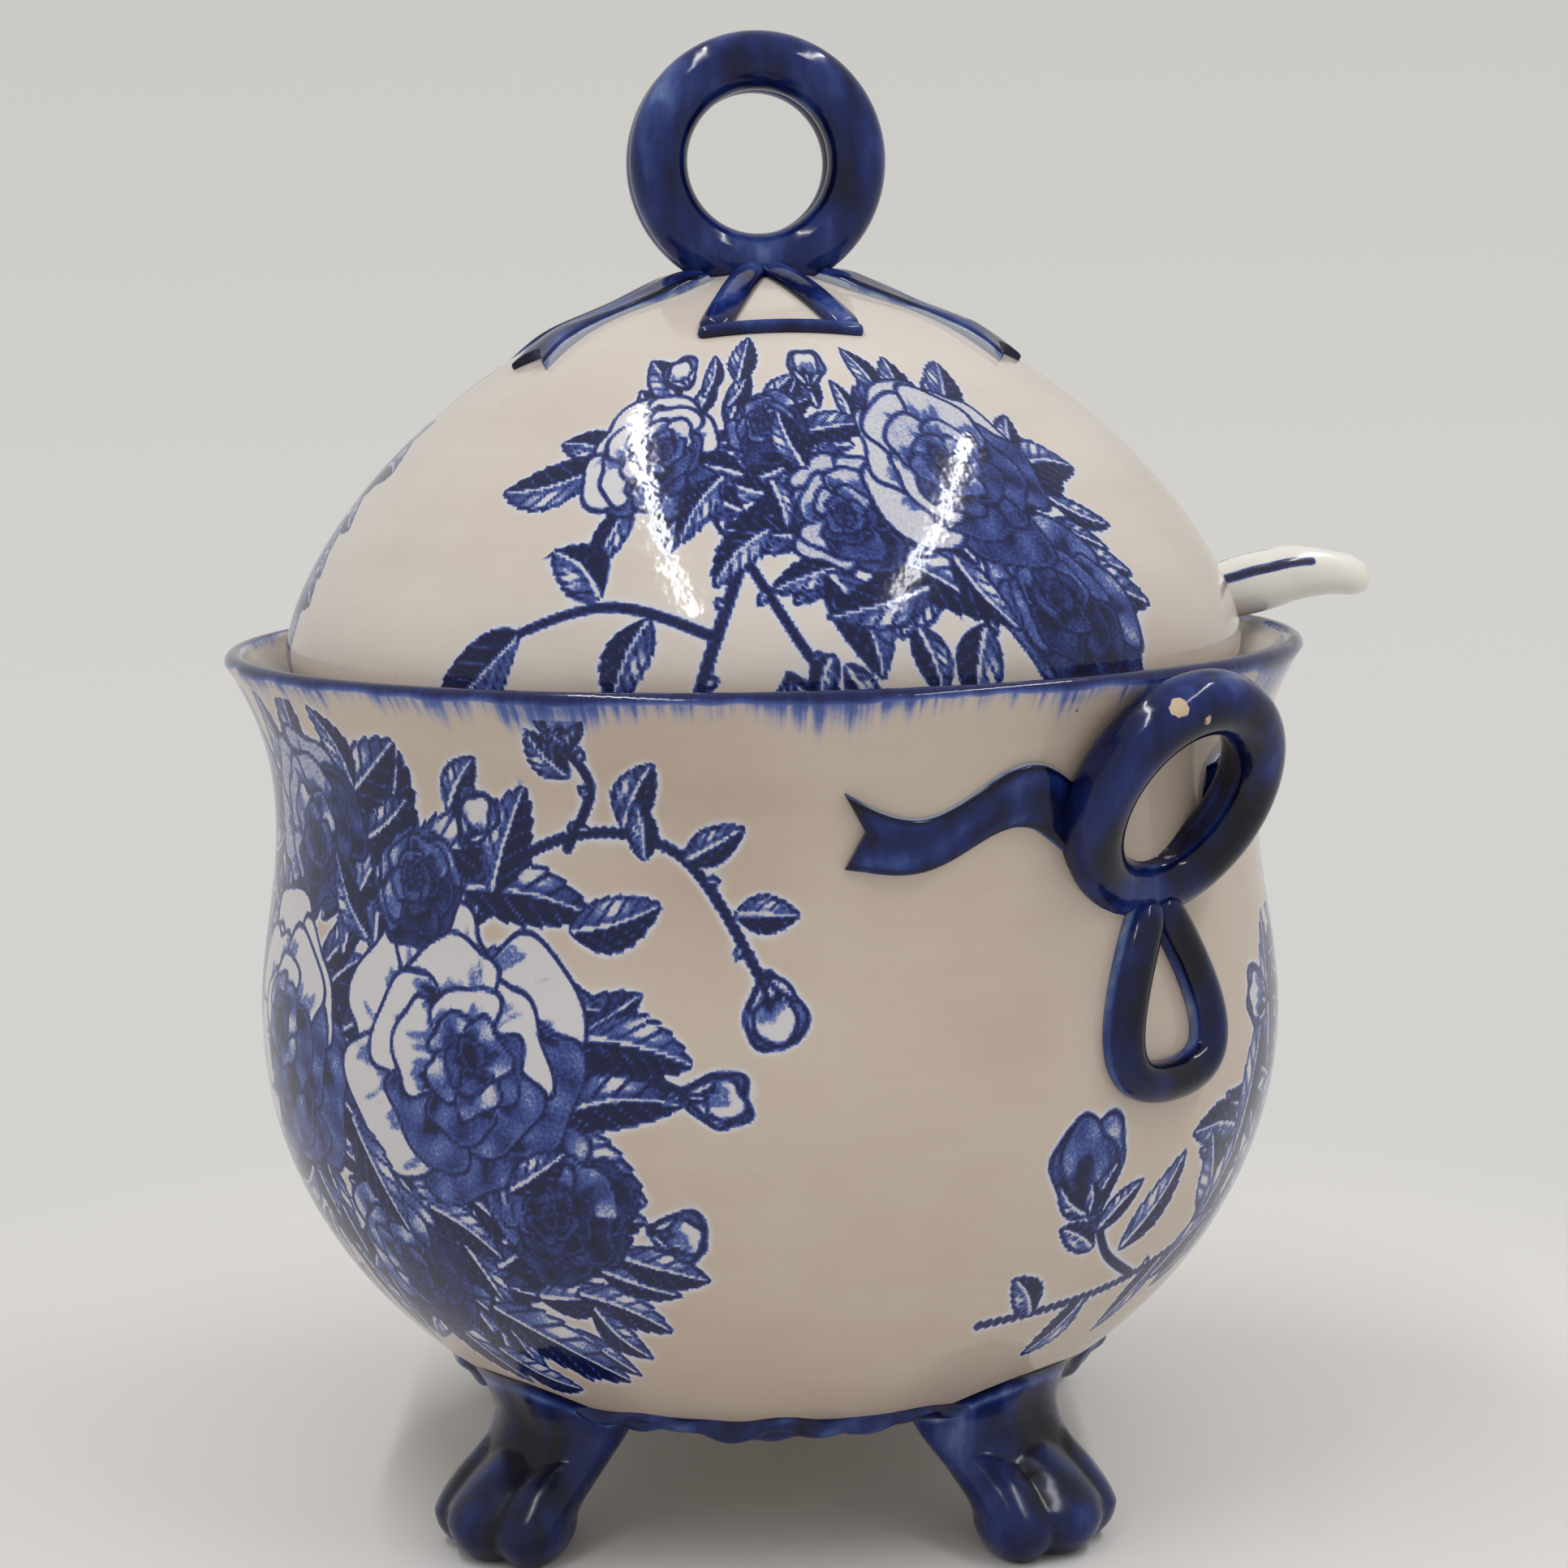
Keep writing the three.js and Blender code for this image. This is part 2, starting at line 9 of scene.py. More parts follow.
import bmesh
import bpy
import numpy as np
from mathutils import Matrix, Vector


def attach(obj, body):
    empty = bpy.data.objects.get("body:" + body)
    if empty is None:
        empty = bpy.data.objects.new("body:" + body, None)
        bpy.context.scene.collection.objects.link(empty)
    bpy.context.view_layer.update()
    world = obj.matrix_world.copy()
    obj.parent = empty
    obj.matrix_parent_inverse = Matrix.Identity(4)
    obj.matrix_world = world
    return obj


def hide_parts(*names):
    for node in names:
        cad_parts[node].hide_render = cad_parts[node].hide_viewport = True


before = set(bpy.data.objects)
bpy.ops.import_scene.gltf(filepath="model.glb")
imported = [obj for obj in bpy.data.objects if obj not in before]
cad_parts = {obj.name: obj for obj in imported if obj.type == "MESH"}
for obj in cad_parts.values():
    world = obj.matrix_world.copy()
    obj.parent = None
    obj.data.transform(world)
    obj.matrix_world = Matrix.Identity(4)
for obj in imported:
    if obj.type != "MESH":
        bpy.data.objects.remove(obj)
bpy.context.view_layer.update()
MM = 0.001  # a millimetre, in metres
SINK = 0.3  # how far under a face a tucked edge ends, in millimetres
LEAST_CHANGE = 0.12  # change of ink over a face from which on it is divided
TIE_BREAK = (1.0, 1.37, 2.11)  # skew direction that ranks what is otherwise equal
RING_CHIPS = ((127.3, -13.3, 182.9, 1.9), (131.2, -7.9, 179.2, 1.9))  # each chip's place and size, in millimetres
log = logging.getLogger("tureen")

Array = np.ndarray
Pair = tuple[Array, Array]
Place = Callable[[Array, Array], Pair]
Colour = tuple[float, float, float, float]
BMesh = bmesh.types.BMesh
Mesh, Object, Material, Socket = bpy.types.Mesh, bpy.types.Object, bpy.types.Material, bpy.types.NodeSocket


class Body(Enum):
    """The bodies that move apart."""

    TUREEN = "tureen"
    LID = "lid"
    LADLE = "ladle"


class Slot(Enum):
    """The finishes of the record."""

    CREAM = "cream_glaze"
    COBALT = "cobalt_glaze"
    WHITE = "white_glaze"


# Numbers along lines and curves


def smooth(value: Array, low: float, high: float) -> Array:
    """Eases from 0 at low to 1 at high."""
    share = np.clip((value - low) / (high - low), 0, 1)
    return share * share * (3 - 2 * share)


def rows(*columns: Array) -> Array:
    """Stands columns of numbers side by side."""
    return np.stack(columns, axis=1)


def peak(value: Array, at: float, width: float, power: int = 2) -> Array:
    """Gives 1 at a place, falling to 0 on both sides of it."""
    return np.exp(-(((value - at) / width) ** power))


def radii(spots: Array) -> Array:
    """Distances from the upright axis."""
    return np.hypot(spots[:, 0], spots[:, 1])


def widened(spots: Array, scale: Array) -> Array:
    """Scales each place's distance from the upright axis."""
    return spots * rows(scale, scale, np.ones_like(scale))


def steps_of(line: Array) -> Array:
    """Lengths of the steps along a line of points."""
    return np.linalg.norm(np.diff(line, axis=0), axis=1)


def through(points: Array, count: int) -> Array:
    """Draws a smooth line through points.

    Args:
        points: The points to pass, one row each.
        count: How many points to give back, evenly spaced along the line.

    Returns:
        Evenly spaced points, one row each.
    """
    ends = np.vstack([points[:1], points, points[-1:]])
    pieces = []
    for before, start, end, after in zip(ends, ends[1:], ends[2:], ends[3:]):
        t = np.linspace(0, 1, 24, endpoint=False)[:, None]
        leave, arrive = (end - before) / 2, (after - start) / 2
        pieces.append((2 * t**3 - 3 * t**2 + 1) * start + (t**3 - 2 * t**2 + t) * leave
                      + (3 * t**2 - 2 * t**3) * end + (t**3 - t**2) * arrive)
    return evenly(np.vstack([*pieces, points[-1:]]), count)


def evenly(line: Array, count: int) -> Array:
    """Spaces count points evenly along a line of points.

    Args:
        line: The points, one row each.
        count: How many to give back.

    Returns:
        The evenly spaced points.
    """
    reach = np.concatenate([[0], np.cumsum(steps_of(line))])
    steps = np.linspace(0, reach[-1], count)
    return rows(*(np.interp(steps, reach, column) for column in line.T))


def spaced(line: Array, spacing: float) -> Array:
    """Spaces points along a line of points, about spacing apart."""
    length = steps_of(line).sum()
    return evenly(line, max(2, round(length / spacing) + 1))


def shifted(line: Array, distance: float) -> Array:
    """Moves a line of (radius, height) that climbs an outside wall outwards by a distance.

    Args:
        line: The wall's outline.
        distance: How far to move it; below 0 it moves inwards.

    Returns:
        The moved outline.
    """
    along = np.gradient(line, axis=0)
    along /= np.linalg.norm(along, axis=1)[:, None]
    moved = line + distance * rows(along[:, 1], -along[:, 0])
    moved[:, 0] = np.where(line[:, 0] < 1e-6, 0, np.maximum(moved[:, 0], 0))
    return moved


# Forms that several pieces share, in millimetres


@dataclass(frozen=True)
class BowlForm:
    """Outline of the bowl: a bulging belly, a waist and a flared rim."""

    rim_radius: float = 118.0
    rim_height: float = 189.0
    neck_radius: float = 108.3
    neck_height: float = 153.0
    belly_radius: float = 113.0
    belly_height: float = 107.0
    base_radius: float = 70.5
    base_height: float = 31.0
    wall: float = 4.5
    floor: float = 37.0
    flare: float = 2.2
    ledge_height: float = 175.5
    ledge_radius: float = 91.5
    ledge_thickness: float = 4.0
    ledge_foot: float = 163.5

    @property
    def lip(self) -> float:
        """Radius of the rounded lip."""
        return self.wall / 2

    def radius_at(self, height: Array) -> Array:
        """Outer radius of the bowl at a height.

        Args:
            height: Heights in millimetres.

        Returns:
            The radius at each.
        """
        drop = np.clip((self.belly_height - height) / (self.belly_height - self.base_height), 0, 1)
        belly = self.belly_radius * np.sqrt(1 - drop**2 * (1 - (self.base_radius / self.belly_radius) ** 2))
        climb = np.clip((height - self.belly_height) / (self.neck_height - self.belly_height), 0, 1)
        waist = self.neck_radius + (self.belly_radius - self.neck_radius) * (1 + np.cos(np.pi * climb)) / 2
        rise = np.clip((height - self.neck_height) / (self.rim_height - self.lip - self.neck_height), 0, 1)
        rim = self.neck_radius + (self.rim_radius - self.neck_radius) * rise**self.flare
        return np.where(height < self.belly_height, belly, np.where(height < self.neck_height, waist, rim))

    def outside(self) -> Array:
        """Outer line of the wall from the base to the foot of the lip."""
        height = np.linspace(self.base_height, self.rim_height - self.lip, 600)
        return rows(self.radius_at(height), height)

    def tuck(self, spots: Array) -> Array:
        """Brings what lies within the wall out to just under its face.

        Args:
            spots: Places in millimetres, one row each.

        Returns:
            The places, those within the wall moved out.
        """
        out = radii(spots)
        face = self.radius_at(spots[:, 2]) - SINK
        scale = np.where(out < face, face / np.maximum(out, 1e-6), 1)
        return widened(spots, scale)

    def wrap(self, flat: Array, height: float) -> Array:
        """Wraps upright flat places round the +X side of the bowl about a height.

        Args:
            flat: Places along the wall, up it and out from it.
            height: Where the upright places are counted from.

        Returns:
            The places on the bowl.
        """
        up = height + flat[:, 1]
        radius = self.radius_at(up) + flat[:, 2]
        turn = flat[:, 0] / self.radius_at(np.array(height))
        return rows(radius * np.cos(turn), radius * np.sin(turn), up)


@dataclass(frozen=True)
class LidForm:
    """Outline of the lid: a full dome over a tucked skirt."""

    radius: float = 104.7
    widest: float = 188.8
    rise: float = 80.0
    seat: float = 175.8
    seat_radius: float = 96.0
    wall: float = 4.5
    fullness_across: float = 1.7
    fullness_up: float = 1.5
    skirt_tuck: float = 2.4
    flange_radius: float = 90.3
    flange_foot: float = 168.8
    flange_wall: float = 4.0
    notch_width: float = 22.0
    notch_top: float = 203.8
    turn: float = math.radians(56)

    def height_at(self, radius: Array) -> Array:
        """Height of the dome's outer face at a radius."""
        across = np.clip(radius / self.radius, 0, 1) ** self.fullness_across
        return self.widest + self.rise * (1 - across) ** (1 / self.fullness_up)

    def outside(self) -> Array:
        """Outer line from the seat, round the skirt, to the crown.

        Returns:
            The (radius, height) line, one point in each row.
        """
        t = np.linspace(0, 1, 40)
        skirt = rows(self.radius - (self.radius - self.seat_radius) * (1 - t) ** self.skirt_tuck,
                     self.seat + (self.widest - self.seat) * t)
        radius = self.radius * np.cos(np.linspace(0, math.pi / 2, 400)) ** (2 / self.fullness_across)
        radius[-1] = 0
        return np.vstack([skirt, rows(radius, self.height_at(radius))[1:]])

    def fullness(self, spots: Array) -> Array:
        """Gives 1 on the dome's outer face, less inside it and more outside.

        Args:
            spots: Places in millimetres, one row each.

        Returns:
            One number for each place.
        """
        out = radii(spots) / self.radius
        up = np.clip(spots[:, 2] - self.widest, 0, None) / self.rise
        return out**self.fullness_across + up**self.fullness_up

    def on_face(self, spots: Array) -> Array:
        """Moves places near the dome onto its outer face, towards or away from its middle.

        Args:
            spots: Places in millimetres, one row each.

        Returns:
            The places on the face.
        """
        scale = np.ones(len(spots))
        middle = np.array([0, 0, self.widest])
        for _ in range(6):
            now = self.fullness(middle + (spots - middle) * scale[:, None])
            scale /= np.maximum(now, 1e-3) ** (1 / 1.6)
        return middle + (spots - middle) * scale[:, None]

    def tuck(self, spots: Array) -> Array:
        """Brings what lies within the dome out to just under its face.

        Args:
            spots: Places in millimetres, one row each.

        Returns:
            The places, those within the dome moved out.
        """
        face = self.on_face(spots)
        face[:, 2] -= SINK
        return np.where((self.fullness(spots) < self.fullness(face))[:, None], face, spots)

    def drape(self, flat: Array) -> Array:
        """Drapes places drawn in plan over the crown of the lid.

        Args:
            flat: Places in plan, with how far they stand up.

        Returns:
            The places on the lid.
        """
        radius = radii(flat)
        slope = self.height_at(radius + 0.5) - self.height_at(np.abs(radius - 0.5))
        lean = flat[:, 2] / np.hypot(1, slope)
        out = 1 - slope * lean / np.maximum(radius, 1)
        return rows(flat[:, 0] * out, flat[:, 1] * out, self.height_at(radius) + lean)


BOWL = BowlForm()
LID = LidForm()


# Meshes


def placed(bm: BMesh, spots: Array) -> None:
    """Moves each vertex of a mesh to its row of spots."""
    for vert, spot in zip(bm.verts, spots):
        vert.co = spot


def spots_of(bm: BMesh) -> Array:
    """Places of a mesh's vertices, one row each."""
    return np.array([vert.co[:] for vert in bm.verts]).reshape(-1, 3)


def turned(spots: Array, angle: float) -> Array:
    """Turns places about the object's axis."""
    cos, sin = math.cos(angle), math.sin(angle)
    return rows(spots[:, 0] * cos - spots[:, 1] * sin, spots[:, 0] * sin + spots[:, 1] * cos, spots[:, 2])


def settle(bm: BMesh) -> None:
    """Puts what a mesh holds in an order that follows from its places, so that each run is the same.

    Args:
        bm: The mesh.
    """
    rank = Vector(TIE_BREAK)
    bm.verts.sort(key=lambda vert: vert.co.dot(rank))
    bm.edges.sort(key=lambda edge: (edge.verts[0].co + edge.verts[1].co).dot(rank))
    bm.faces.sort(key=lambda face: face.calc_center_median().dot(rank))


def spun(line: Array, steps: int) -> BMesh:
    """Spins a line of (radius, height) into a closed shell.

    Args:
        line: The shell's outline, from the axis round to the axis again.
        steps: How many steps the full turn has.

    Returns:
        The shell; its layer "along" holds each vertex's reach along the outline.
    """
    bm = bmesh.new()
    along = bm.verts.layers.float.new("along")
    reach = np.concatenate([[0], np.cumsum(steps_of(line))])
    verts = [bm.verts.new((radius, 0, height)) for radius, height in line]
    for vert, distance in zip(verts, reach):
        vert[along] = distance
    edges = [bm.edges.new(pair) for pair in zip(verts, verts[1:])]
    bmesh.ops.spin(bm, geom=verts + edges, cent=(0, 0, 0), axis=(0, 0, 1), angle=2 * math.pi,
                   steps=steps, use_merge=True)
    bmesh.ops.remove_doubles(bm, verts=bm.verts, dist=1e-3)
    bmesh.ops.recalc_face_normals(bm, faces=bm.faces)
    settle(bm)
    return bm


def rolled(steps: int, around: int, place: Place) -> BMesh:
    """Rolls a grid into a closed tube.

    Args:
        steps: Steps along the tube.
        around: Steps round it.
        place: Takes the share along (0 to 1) and the turn (0 to a full turn) of each vertex, and gives
            its place in millimetres and how much glaze has pooled there (0 to 1).

    Returns:
        The tube; its layer "pool" holds the pooled glaze.
    """
    bm = bmesh.new()
    pool = bm.verts.layers.float.new("pool")
    bmesh.ops.create_grid(bm, x_segments=steps, y_segments=around, size=0.5)
    flat = spots_of(bm)
    spots, depths = place(flat[:, 0] + 0.5, (flat[:, 1] + 0.5) * 2 * math.pi)
    placed(bm, spots)
    for vert, depth in zip(bm.verts, np.broadcast_to(depths, len(flat))):
        vert[pool] = depth
    bmesh.ops.remove_doubles(bm, verts=bm.verts, dist=2e-3)
    bmesh.ops.recalc_face_normals(bm, faces=bm.faces)
    return bm


def print_passes() -> int:
    """How many times the faces under a print are halved."""
    return 3


def refined(bm: BMesh, ink_at: Callable[[Array], Array], passes: int, most: int) -> None:
    """Divides the faces over which the print's ink changes, the most changing ones first.

    Args:
        bm: The mesh to refine.
        ink_at: Gives the ink at places, one row each.
        passes: How many times the faces are halved.
        most: Triangles that the mesh may have in the end.
    """
    for step in range(passes):
        bm.verts.index_update()
        spots = spots_of(bm)
        faces = list(bm.faces)
        room = (most - sum(len(face.verts) - 2 for face in faces)) // 7
        corners = [[vert.index for vert in face.verts] for face in faces]
        sizes = np.array([len(corner) for corner in corners])
        flat = np.concatenate([np.array(corner) for corner in corners])
        owner = np.repeat(np.arange(len(faces)), sizes)
        middles = rows(*(np.bincount(owner, spots[flat, axis]) / sizes for axis in range(3)))
        ink = [ink_at(spots[flat]), ink_at((spots[flat] * 2 + middles[owner]) / 3), ink_at(middles)[owner]]
        high, low = np.full(len(faces), -1.0), np.full(len(faces), 2.0)
        for values in ink:
            np.maximum.at(high, owner, values)
            np.minimum.at(low, owner, values)
        change = np.round((high - low) * (sizes == 4), 6)
        ranks = middles @ TIE_BREAK, np.round(np.abs(middles) @ TIE_BREAK, 2), -change
        chosen = np.lexsort(ranks)[:max(room, 0)]
        chosen = chosen[change[chosen] > LEAST_CHANGE]
        edges = list(dict.fromkeys(edge for index in chosen for edge in faces[index].edges))
        bmesh.ops.subdivide_edges(bm, edges=edges, cuts=1, use_grid_fill=True)
        log.info("print pass %d: %d of %d faces divided", step, len(chosen), len(faces))


def numbers(items: bpy.types.bpy_prop_collection, name: str, width: int = 1, kind: type = np.float32) -> Array:
    """Reads a property of a mesh's items.

    Args:
        items: The vertices, edges, faces or corners.
        name: The property.
        width: How many numbers each item has.
        kind: The kind of number.

    Returns:
        One number for each item, or one row where each has several.
    """
    values = np.empty(width * len(items), kind)
    items.foreach_get(name, values)
    return values.reshape(-1, width) if width > 1 else values


def added(name: str, data: bpy.types.ID) -> Object:
    """Adds an object to the scene.

    Args:
        name: Its name.
        data: Its mesh, lamp or camera.

    Returns:
        The object.
    """
    thing = bpy.data.objects.new(name, data)
    bpy.context.scene.collection.objects.link(thing)
    return thing


def meshed(bm: BMesh, name: str) -> Mesh:
    """Turns a worked mesh into a finished one.

    Args:
        bm: The mesh; it is used up.
        name: The new mesh's name.

    Returns:
        The finished mesh.
    """
    mesh = bpy.data.meshes.new(name)
    bm.to_mesh(mesh)
    bm.free()
    return mesh


def keep_layer(mesh: Mesh, name: str, values: Array) -> None:
    """Stores one number for each vertex of a mesh under a name."""
    layer = mesh.attributes.get(name) or mesh.attributes.new(name, "FLOAT", "POINT")
    layer.data.foreach_set("value", np.ascontiguousarray(values, np.float32))


def layer_of(mesh: Mesh, name: str) -> Array:
    """Reads the numbers that keep_layer stored."""
    return numbers(mesh.attributes[name].data, "value").astype(float)


def mesh_spots(mesh: Mesh) -> Array:
    """Places of a finished mesh's vertices in millimetres."""
    return numbers(mesh.vertices, "co", 3).astype(float) / MM


def set_spots(mesh: Mesh, spots: Array) -> None:
    """Moves a finished mesh's vertices to places in millimetres."""
    mesh.vertices.foreach_set("co", np.ascontiguousarray(spots * MM, np.float32).ravel())
    mesh.update()


def join_smoothly(mesh: Mesh) -> None:
    """Gives a half its normals of the whole, so that light runs over the joint; the joint's own face is flat.

    Args:
        mesh: Half of the bowl; its layer "smooth_normal" holds the whole's normals.
    """
    normals = numbers(mesh.attributes["smooth_normal"].data, "vector", 3)
    wanted = normals[numbers(mesh.loops, "vertex_index", kind=np.int32)]
    for face in mesh.polygons:
        if abs(face.normal.y) > 0.999 and abs(face.center.y) < 1e-6:
            face.use_smooth = False
            wanted[face.loop_start:face.loop_start + face.loop_total] = 0
    mesh.normals_split_custom_set(wanted.tolist())


def hollows(mesh: Mesh, rounds: int, gain: float) -> Array:
    """Finds where glaze pools and where it runs thin.

    Args:
        mesh: The finished mesh.
        rounds: How widely a place is set against its surroundings.
        gain: How strongly the depth, in millimetres, counts.

    Returns:
        For each vertex 0 on an even face, more in a hollow and a little less on a ridge.
    """
    ends = numbers(mesh.edges, "vertices", 2, np.int32)
    both = np.concatenate([ends, ends[:, ::-1]])
    count = np.maximum(np.bincount(both[:, 0], minlength=len(mesh.vertices)), 1)
    spots = mesh_spots(mesh)
    eased = spots.copy()
    for _ in range(rounds):
        eased = rows(*(np.bincount(both[:, 0], eased[both[:, 1], k], len(spots)) / count for k in range(3)))
    hollow = ((eased - spots) * numbers(mesh.vertices, "normal", 3)).sum(1)
    return np.clip(gain * hollow, -0.12, 0.4)


def finished(bm: BMesh, name: str, body: Body, nodes: tuple[str, ...]) -> Object:
    """Makes a worked mesh, in millimetres, a piece of the scene.

    Args:
        bm: The mesh; it is used up.
        name: The piece's name.
        body: The body that it moves with.
        nodes: The CAD nodes that it replaces.

    Returns:
        The piece.
    """
    mesh = meshed(bm, name)
    mesh.transform(Matrix.Scale(MM, 4))
    mesh.shade_smooth()
    piece = added(name, mesh)
    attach(piece, body.value)
    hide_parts(*nodes)
    return piece


def lay_out(mesh: Mesh, chart: Callable[[Array, Array, Array, Array], Array]) -> None:
    """Gives a mesh its own flat map.

    Args:
        mesh: The finished mesh.
        chart: Takes each corner's place and reach along the outline, and the same of its face's middle,
            and gives the corner's place on the map.
    """
    corners = numbers(mesh.loops, "vertex_index", kind=np.int32)
    sizes = numbers(mesh.polygons, "loop_total", kind=np.int32)
    faces = np.repeat(np.arange(len(sizes)), sizes)
    spots, along = mesh_spots(mesh)[corners], layer_of(mesh, "along")[corners]
    middle = rows(*(np.bincount(faces, spots[:, axis]) / sizes for axis in range(3)))[faces]
    reach = (np.bincount(faces, along) / sizes)[faces]
    flat = mesh.uv_layers.new(name="OFBake")
    flat.data.foreach_set("uv", chart(spots, along, middle, reach).astype(np.float32).ravel())


# The print


@dataclass
class InkSheet:
    """Flat sheet of transfer print in millimetres. Its ink runs from 0, bare, to 1, full."""

    left: float
    right: float
    low: float
    high: float
    seed: int
    grain: float = 0.22
    line: float = 0.45
    shadow: float = -0.9
    bleed: float = 1.3
    bleed_reach: float = 3.2
    veil: float = 0.3
    ink: Array = field(init=False)
    cover: Array = field(init=False)
    flow: Array = field(init=False)

    def __post_init__(self) -> None:
        """Starts with a bare sheet."""
        self.across = np.arange(self.left, self.right, self.grain)
        self.up = np.arange(self.low, self.high, self.grain)
        self.ink = np.zeros((len(self.up), len(self.across)), np.float32)
        self.cover = np.zeros_like(self.ink)
        self.flow = self.ink
        self.chance = np.random.default_rng(self.seed)

    def lay(self, x: float, y: float, reach: float, shape: Place) -> None:
        """Lays one shape on the sheet, over what is there.

        Args:
            x: The shape's place across.
            y: The shape's place up.
            reach: How far it extends.
            shape: Takes the distances from its place and gives how deep each spot lies within its
                outline, in millimetres, and its ink.
        """
        first, last = np.searchsorted(self.across, (x - reach, x + reach))
        bottom, top = np.searchsorted(self.up, (y - reach, y + reach))
        if first == last or bottom == top:
            return
        patch = self.ink[bottom:top, first:last]
        depth, ink = shape(*np.meshgrid(self.across[first:last] - x, self.up[bottom:top] - y))
        within = np.clip(depth / self.grain + 0.5, 0, 1)
        patch += (ink - patch) * within
        covered = self.cover[bottom:top, first:last]
        np.maximum(covered, within, out=covered)
        np.maximum(patch, 0.95 * np.clip(1.3 - np.abs(depth) / self.line, 0, 1), out=patch)

    def petal(self, x: float, y: float, angle: float, length: float, width: float, root: float, tip: float) -> None:
        """Lays a petal whose root is at (x, y); ragged shading runs from its root into its pale tip.

        Args:
            x: The root's place across.
            y: The root's place up.
            angle: Where it points, in radians.
            length: Its length.
            width: Its width.
            root: Ink at its root.
            tip: Ink at its tip.
        """
        waves, starts = self.chance.uniform(0.03, 0.1, 3), self.chance.uniform(0, 6.3, 3)

        def shape(dx: Array, dy: Array) -> Pair:
            """Shape of the petal.

            Args:
                dx: Distances across from the root.
                dy: Distances up from it.

            Returns:
                The depth within it, and the ink.
            """
            along = dx * math.cos(angle) + dy * math.sin(angle)
            side = dy * math.cos(angle) - dx * math.sin(angle)
            a = along / length * 2 - 1
            b = side / (width / 2) / (1 + 0.3 * np.clip(a, -1, 1))
            turn = np.arctan2(b, a)
            edge = 1 + sum(wave * np.sin(k * turn + start) for wave, k, start in zip(waves, (2, 3, 5), starts))
            depth = (edge - np.hypot(a, b)) * min(length, width) / 2
            fall = 1 - np.clip(along / length, 0, 1)
            cloud = np.sin(side * 0.8 + starts[0]) + np.sin(along * 0.55 + side * 0.45 + starts[1])
            streak = np.sin(side * 2.3 + 1.6 * np.sin(along * 0.3) + starts[2])
            ink = tip + (root - tip) * smooth(fall + 0.07 * cloud + 0.06 * streak, 0.6, 0.74)
            ink = ink + 0.3 * smooth(fall + 0.1 * cloud + 0.05 * streak, 0.36, 0.5) + 0.1 * cloud * (tip > 0.2)
            return depth, np.clip(np.where(depth < 0.8, np.minimum(ink, 0.1 + 0.7 * tip), ink), 0, 1)

        self.lay(x, y, length * 1.15, shape)

    def leaf(self, x: float, y: float, angle: float, length: float, width: float, shade: float) -> None:
        """Lays a leaf from (x, y): dark with pale veins on one side, paler with dark veins on the other.

        Args:
            x: The stalk's place across.
            y: The stalk's place up.
            angle: Where it points, in degrees.
            length: Its length.
            width: Its width.
            shade: Ink of its paler side.
        """
        angle = math.radians(angle)
        bend, teeth_size = self.chance.uniform(-0.2, 0.2), self.chance.uniform(0.02, 0.1)

        def shape(dx: Array, dy: Array) -> Pair:
            """Shape of the leaf.

            Args:
                dx: Distances across from the stalk.
                dy: Distances up from it.

            Returns:
                The depth within it, and the ink.
            """
            along = dx * math.cos(angle) + dy * math.sin(angle)
            side = dy * math.cos(angle) - dx * math.sin(angle)
            t = np.clip(along / length, 0, 1)
            side = side + bend * length * np.sin(np.pi * t) / 2
            teeth = teeth_size * width * ((along / (0.13 * length)) % 1) * smooth(t, 0.1, 0.3)
            half = width / 2 * np.sin(np.pi * t**0.85) ** 0.8 + teeth - 0.35
            depth = np.where((along < 0) | (along > length), -1.0, half - np.abs(side))
            vein = np.abs(((along - 1.2 * np.abs(side)) / (length / 5.5)) % 1 - 0.5)
            dark = 0.97 - 0.6 * smooth(vein, 0.075, 0.03) * smooth(np.abs(side) / width, 0.06, 0.14)
            sheen = peak(t, 0.52, 0.2) * smooth(side / width, 0.08, 0.2) * smooth(vein, 0.02, 0.2)
            light = shade - 0.9 * shade * sheen + 0.4 * smooth(vein, 0.12, 0.05)
            ink = np.where(side > 0, light, dark)
            rib = np.abs(side) < 0.35 + 0.25 * (1 - t)
            return depth, np.where(rib, 0.1, np.clip(ink, 0.0, 1))

        self.lay(x, y, length * 1.1, shape)

    def thicket(self, x: float, y: float, across: float, up: float, count: int, size: float) -> None:
        """Packs leaves into an oval patch, pointing outwards, to lie behind the flowers.

        Args:
            x: The middle's place across.
            y: The middle's place up.
            across: Half the patch's width.
            up: Half its height.
            count: How many leaves.
            size: About how long they are.
        """
        for k in range(count):
            reach, turn = math.sqrt((k + 0.5) / count), 2.4 * k
            spot = x + across * reach * math.cos(turn), y + up * reach * math.sin(turn)
            heading = math.degrees(math.atan2(spot[1] - y, spot[0] - x)) + self.chance.uniform(-45, 45)
            length = size * self.chance.uniform(0.75, 1.15)
            self.leaf(*spot, heading, length, length * self.chance.uniform(0.36, 0.5), self.chance.uniform(0.35, 0.8))

    def stem(self, points: list[tuple[float, float]], width: float, thorns: int = 0) -> None:
        """Lays a stem through points, with thorns on both of its sides.

        Args:
            points: Places to pass.
            width: The stem's width.
            thorns: How many thorns.
        """
        line = through(np.array(points, float), 60)
        for x, y in line:
            self.lay(x, y, width * 2, lambda dx, dy: (width / 2 - np.hypot(dx, dy), np.full_like(dx, 0.85)))
        for k in range(thorns):
            spot = line[int((k + 0.6) / thorns * 58)]
            ahead = line[int((k + 0.6) / thorns * 58) + 1] - spot
            heading = math.degrees(math.atan2(ahead[1], ahead[0])) + (60 if k % 2 else -60)
            self.leaf(spot[0], spot[1], heading, 3.2, 2.2, 0.9)

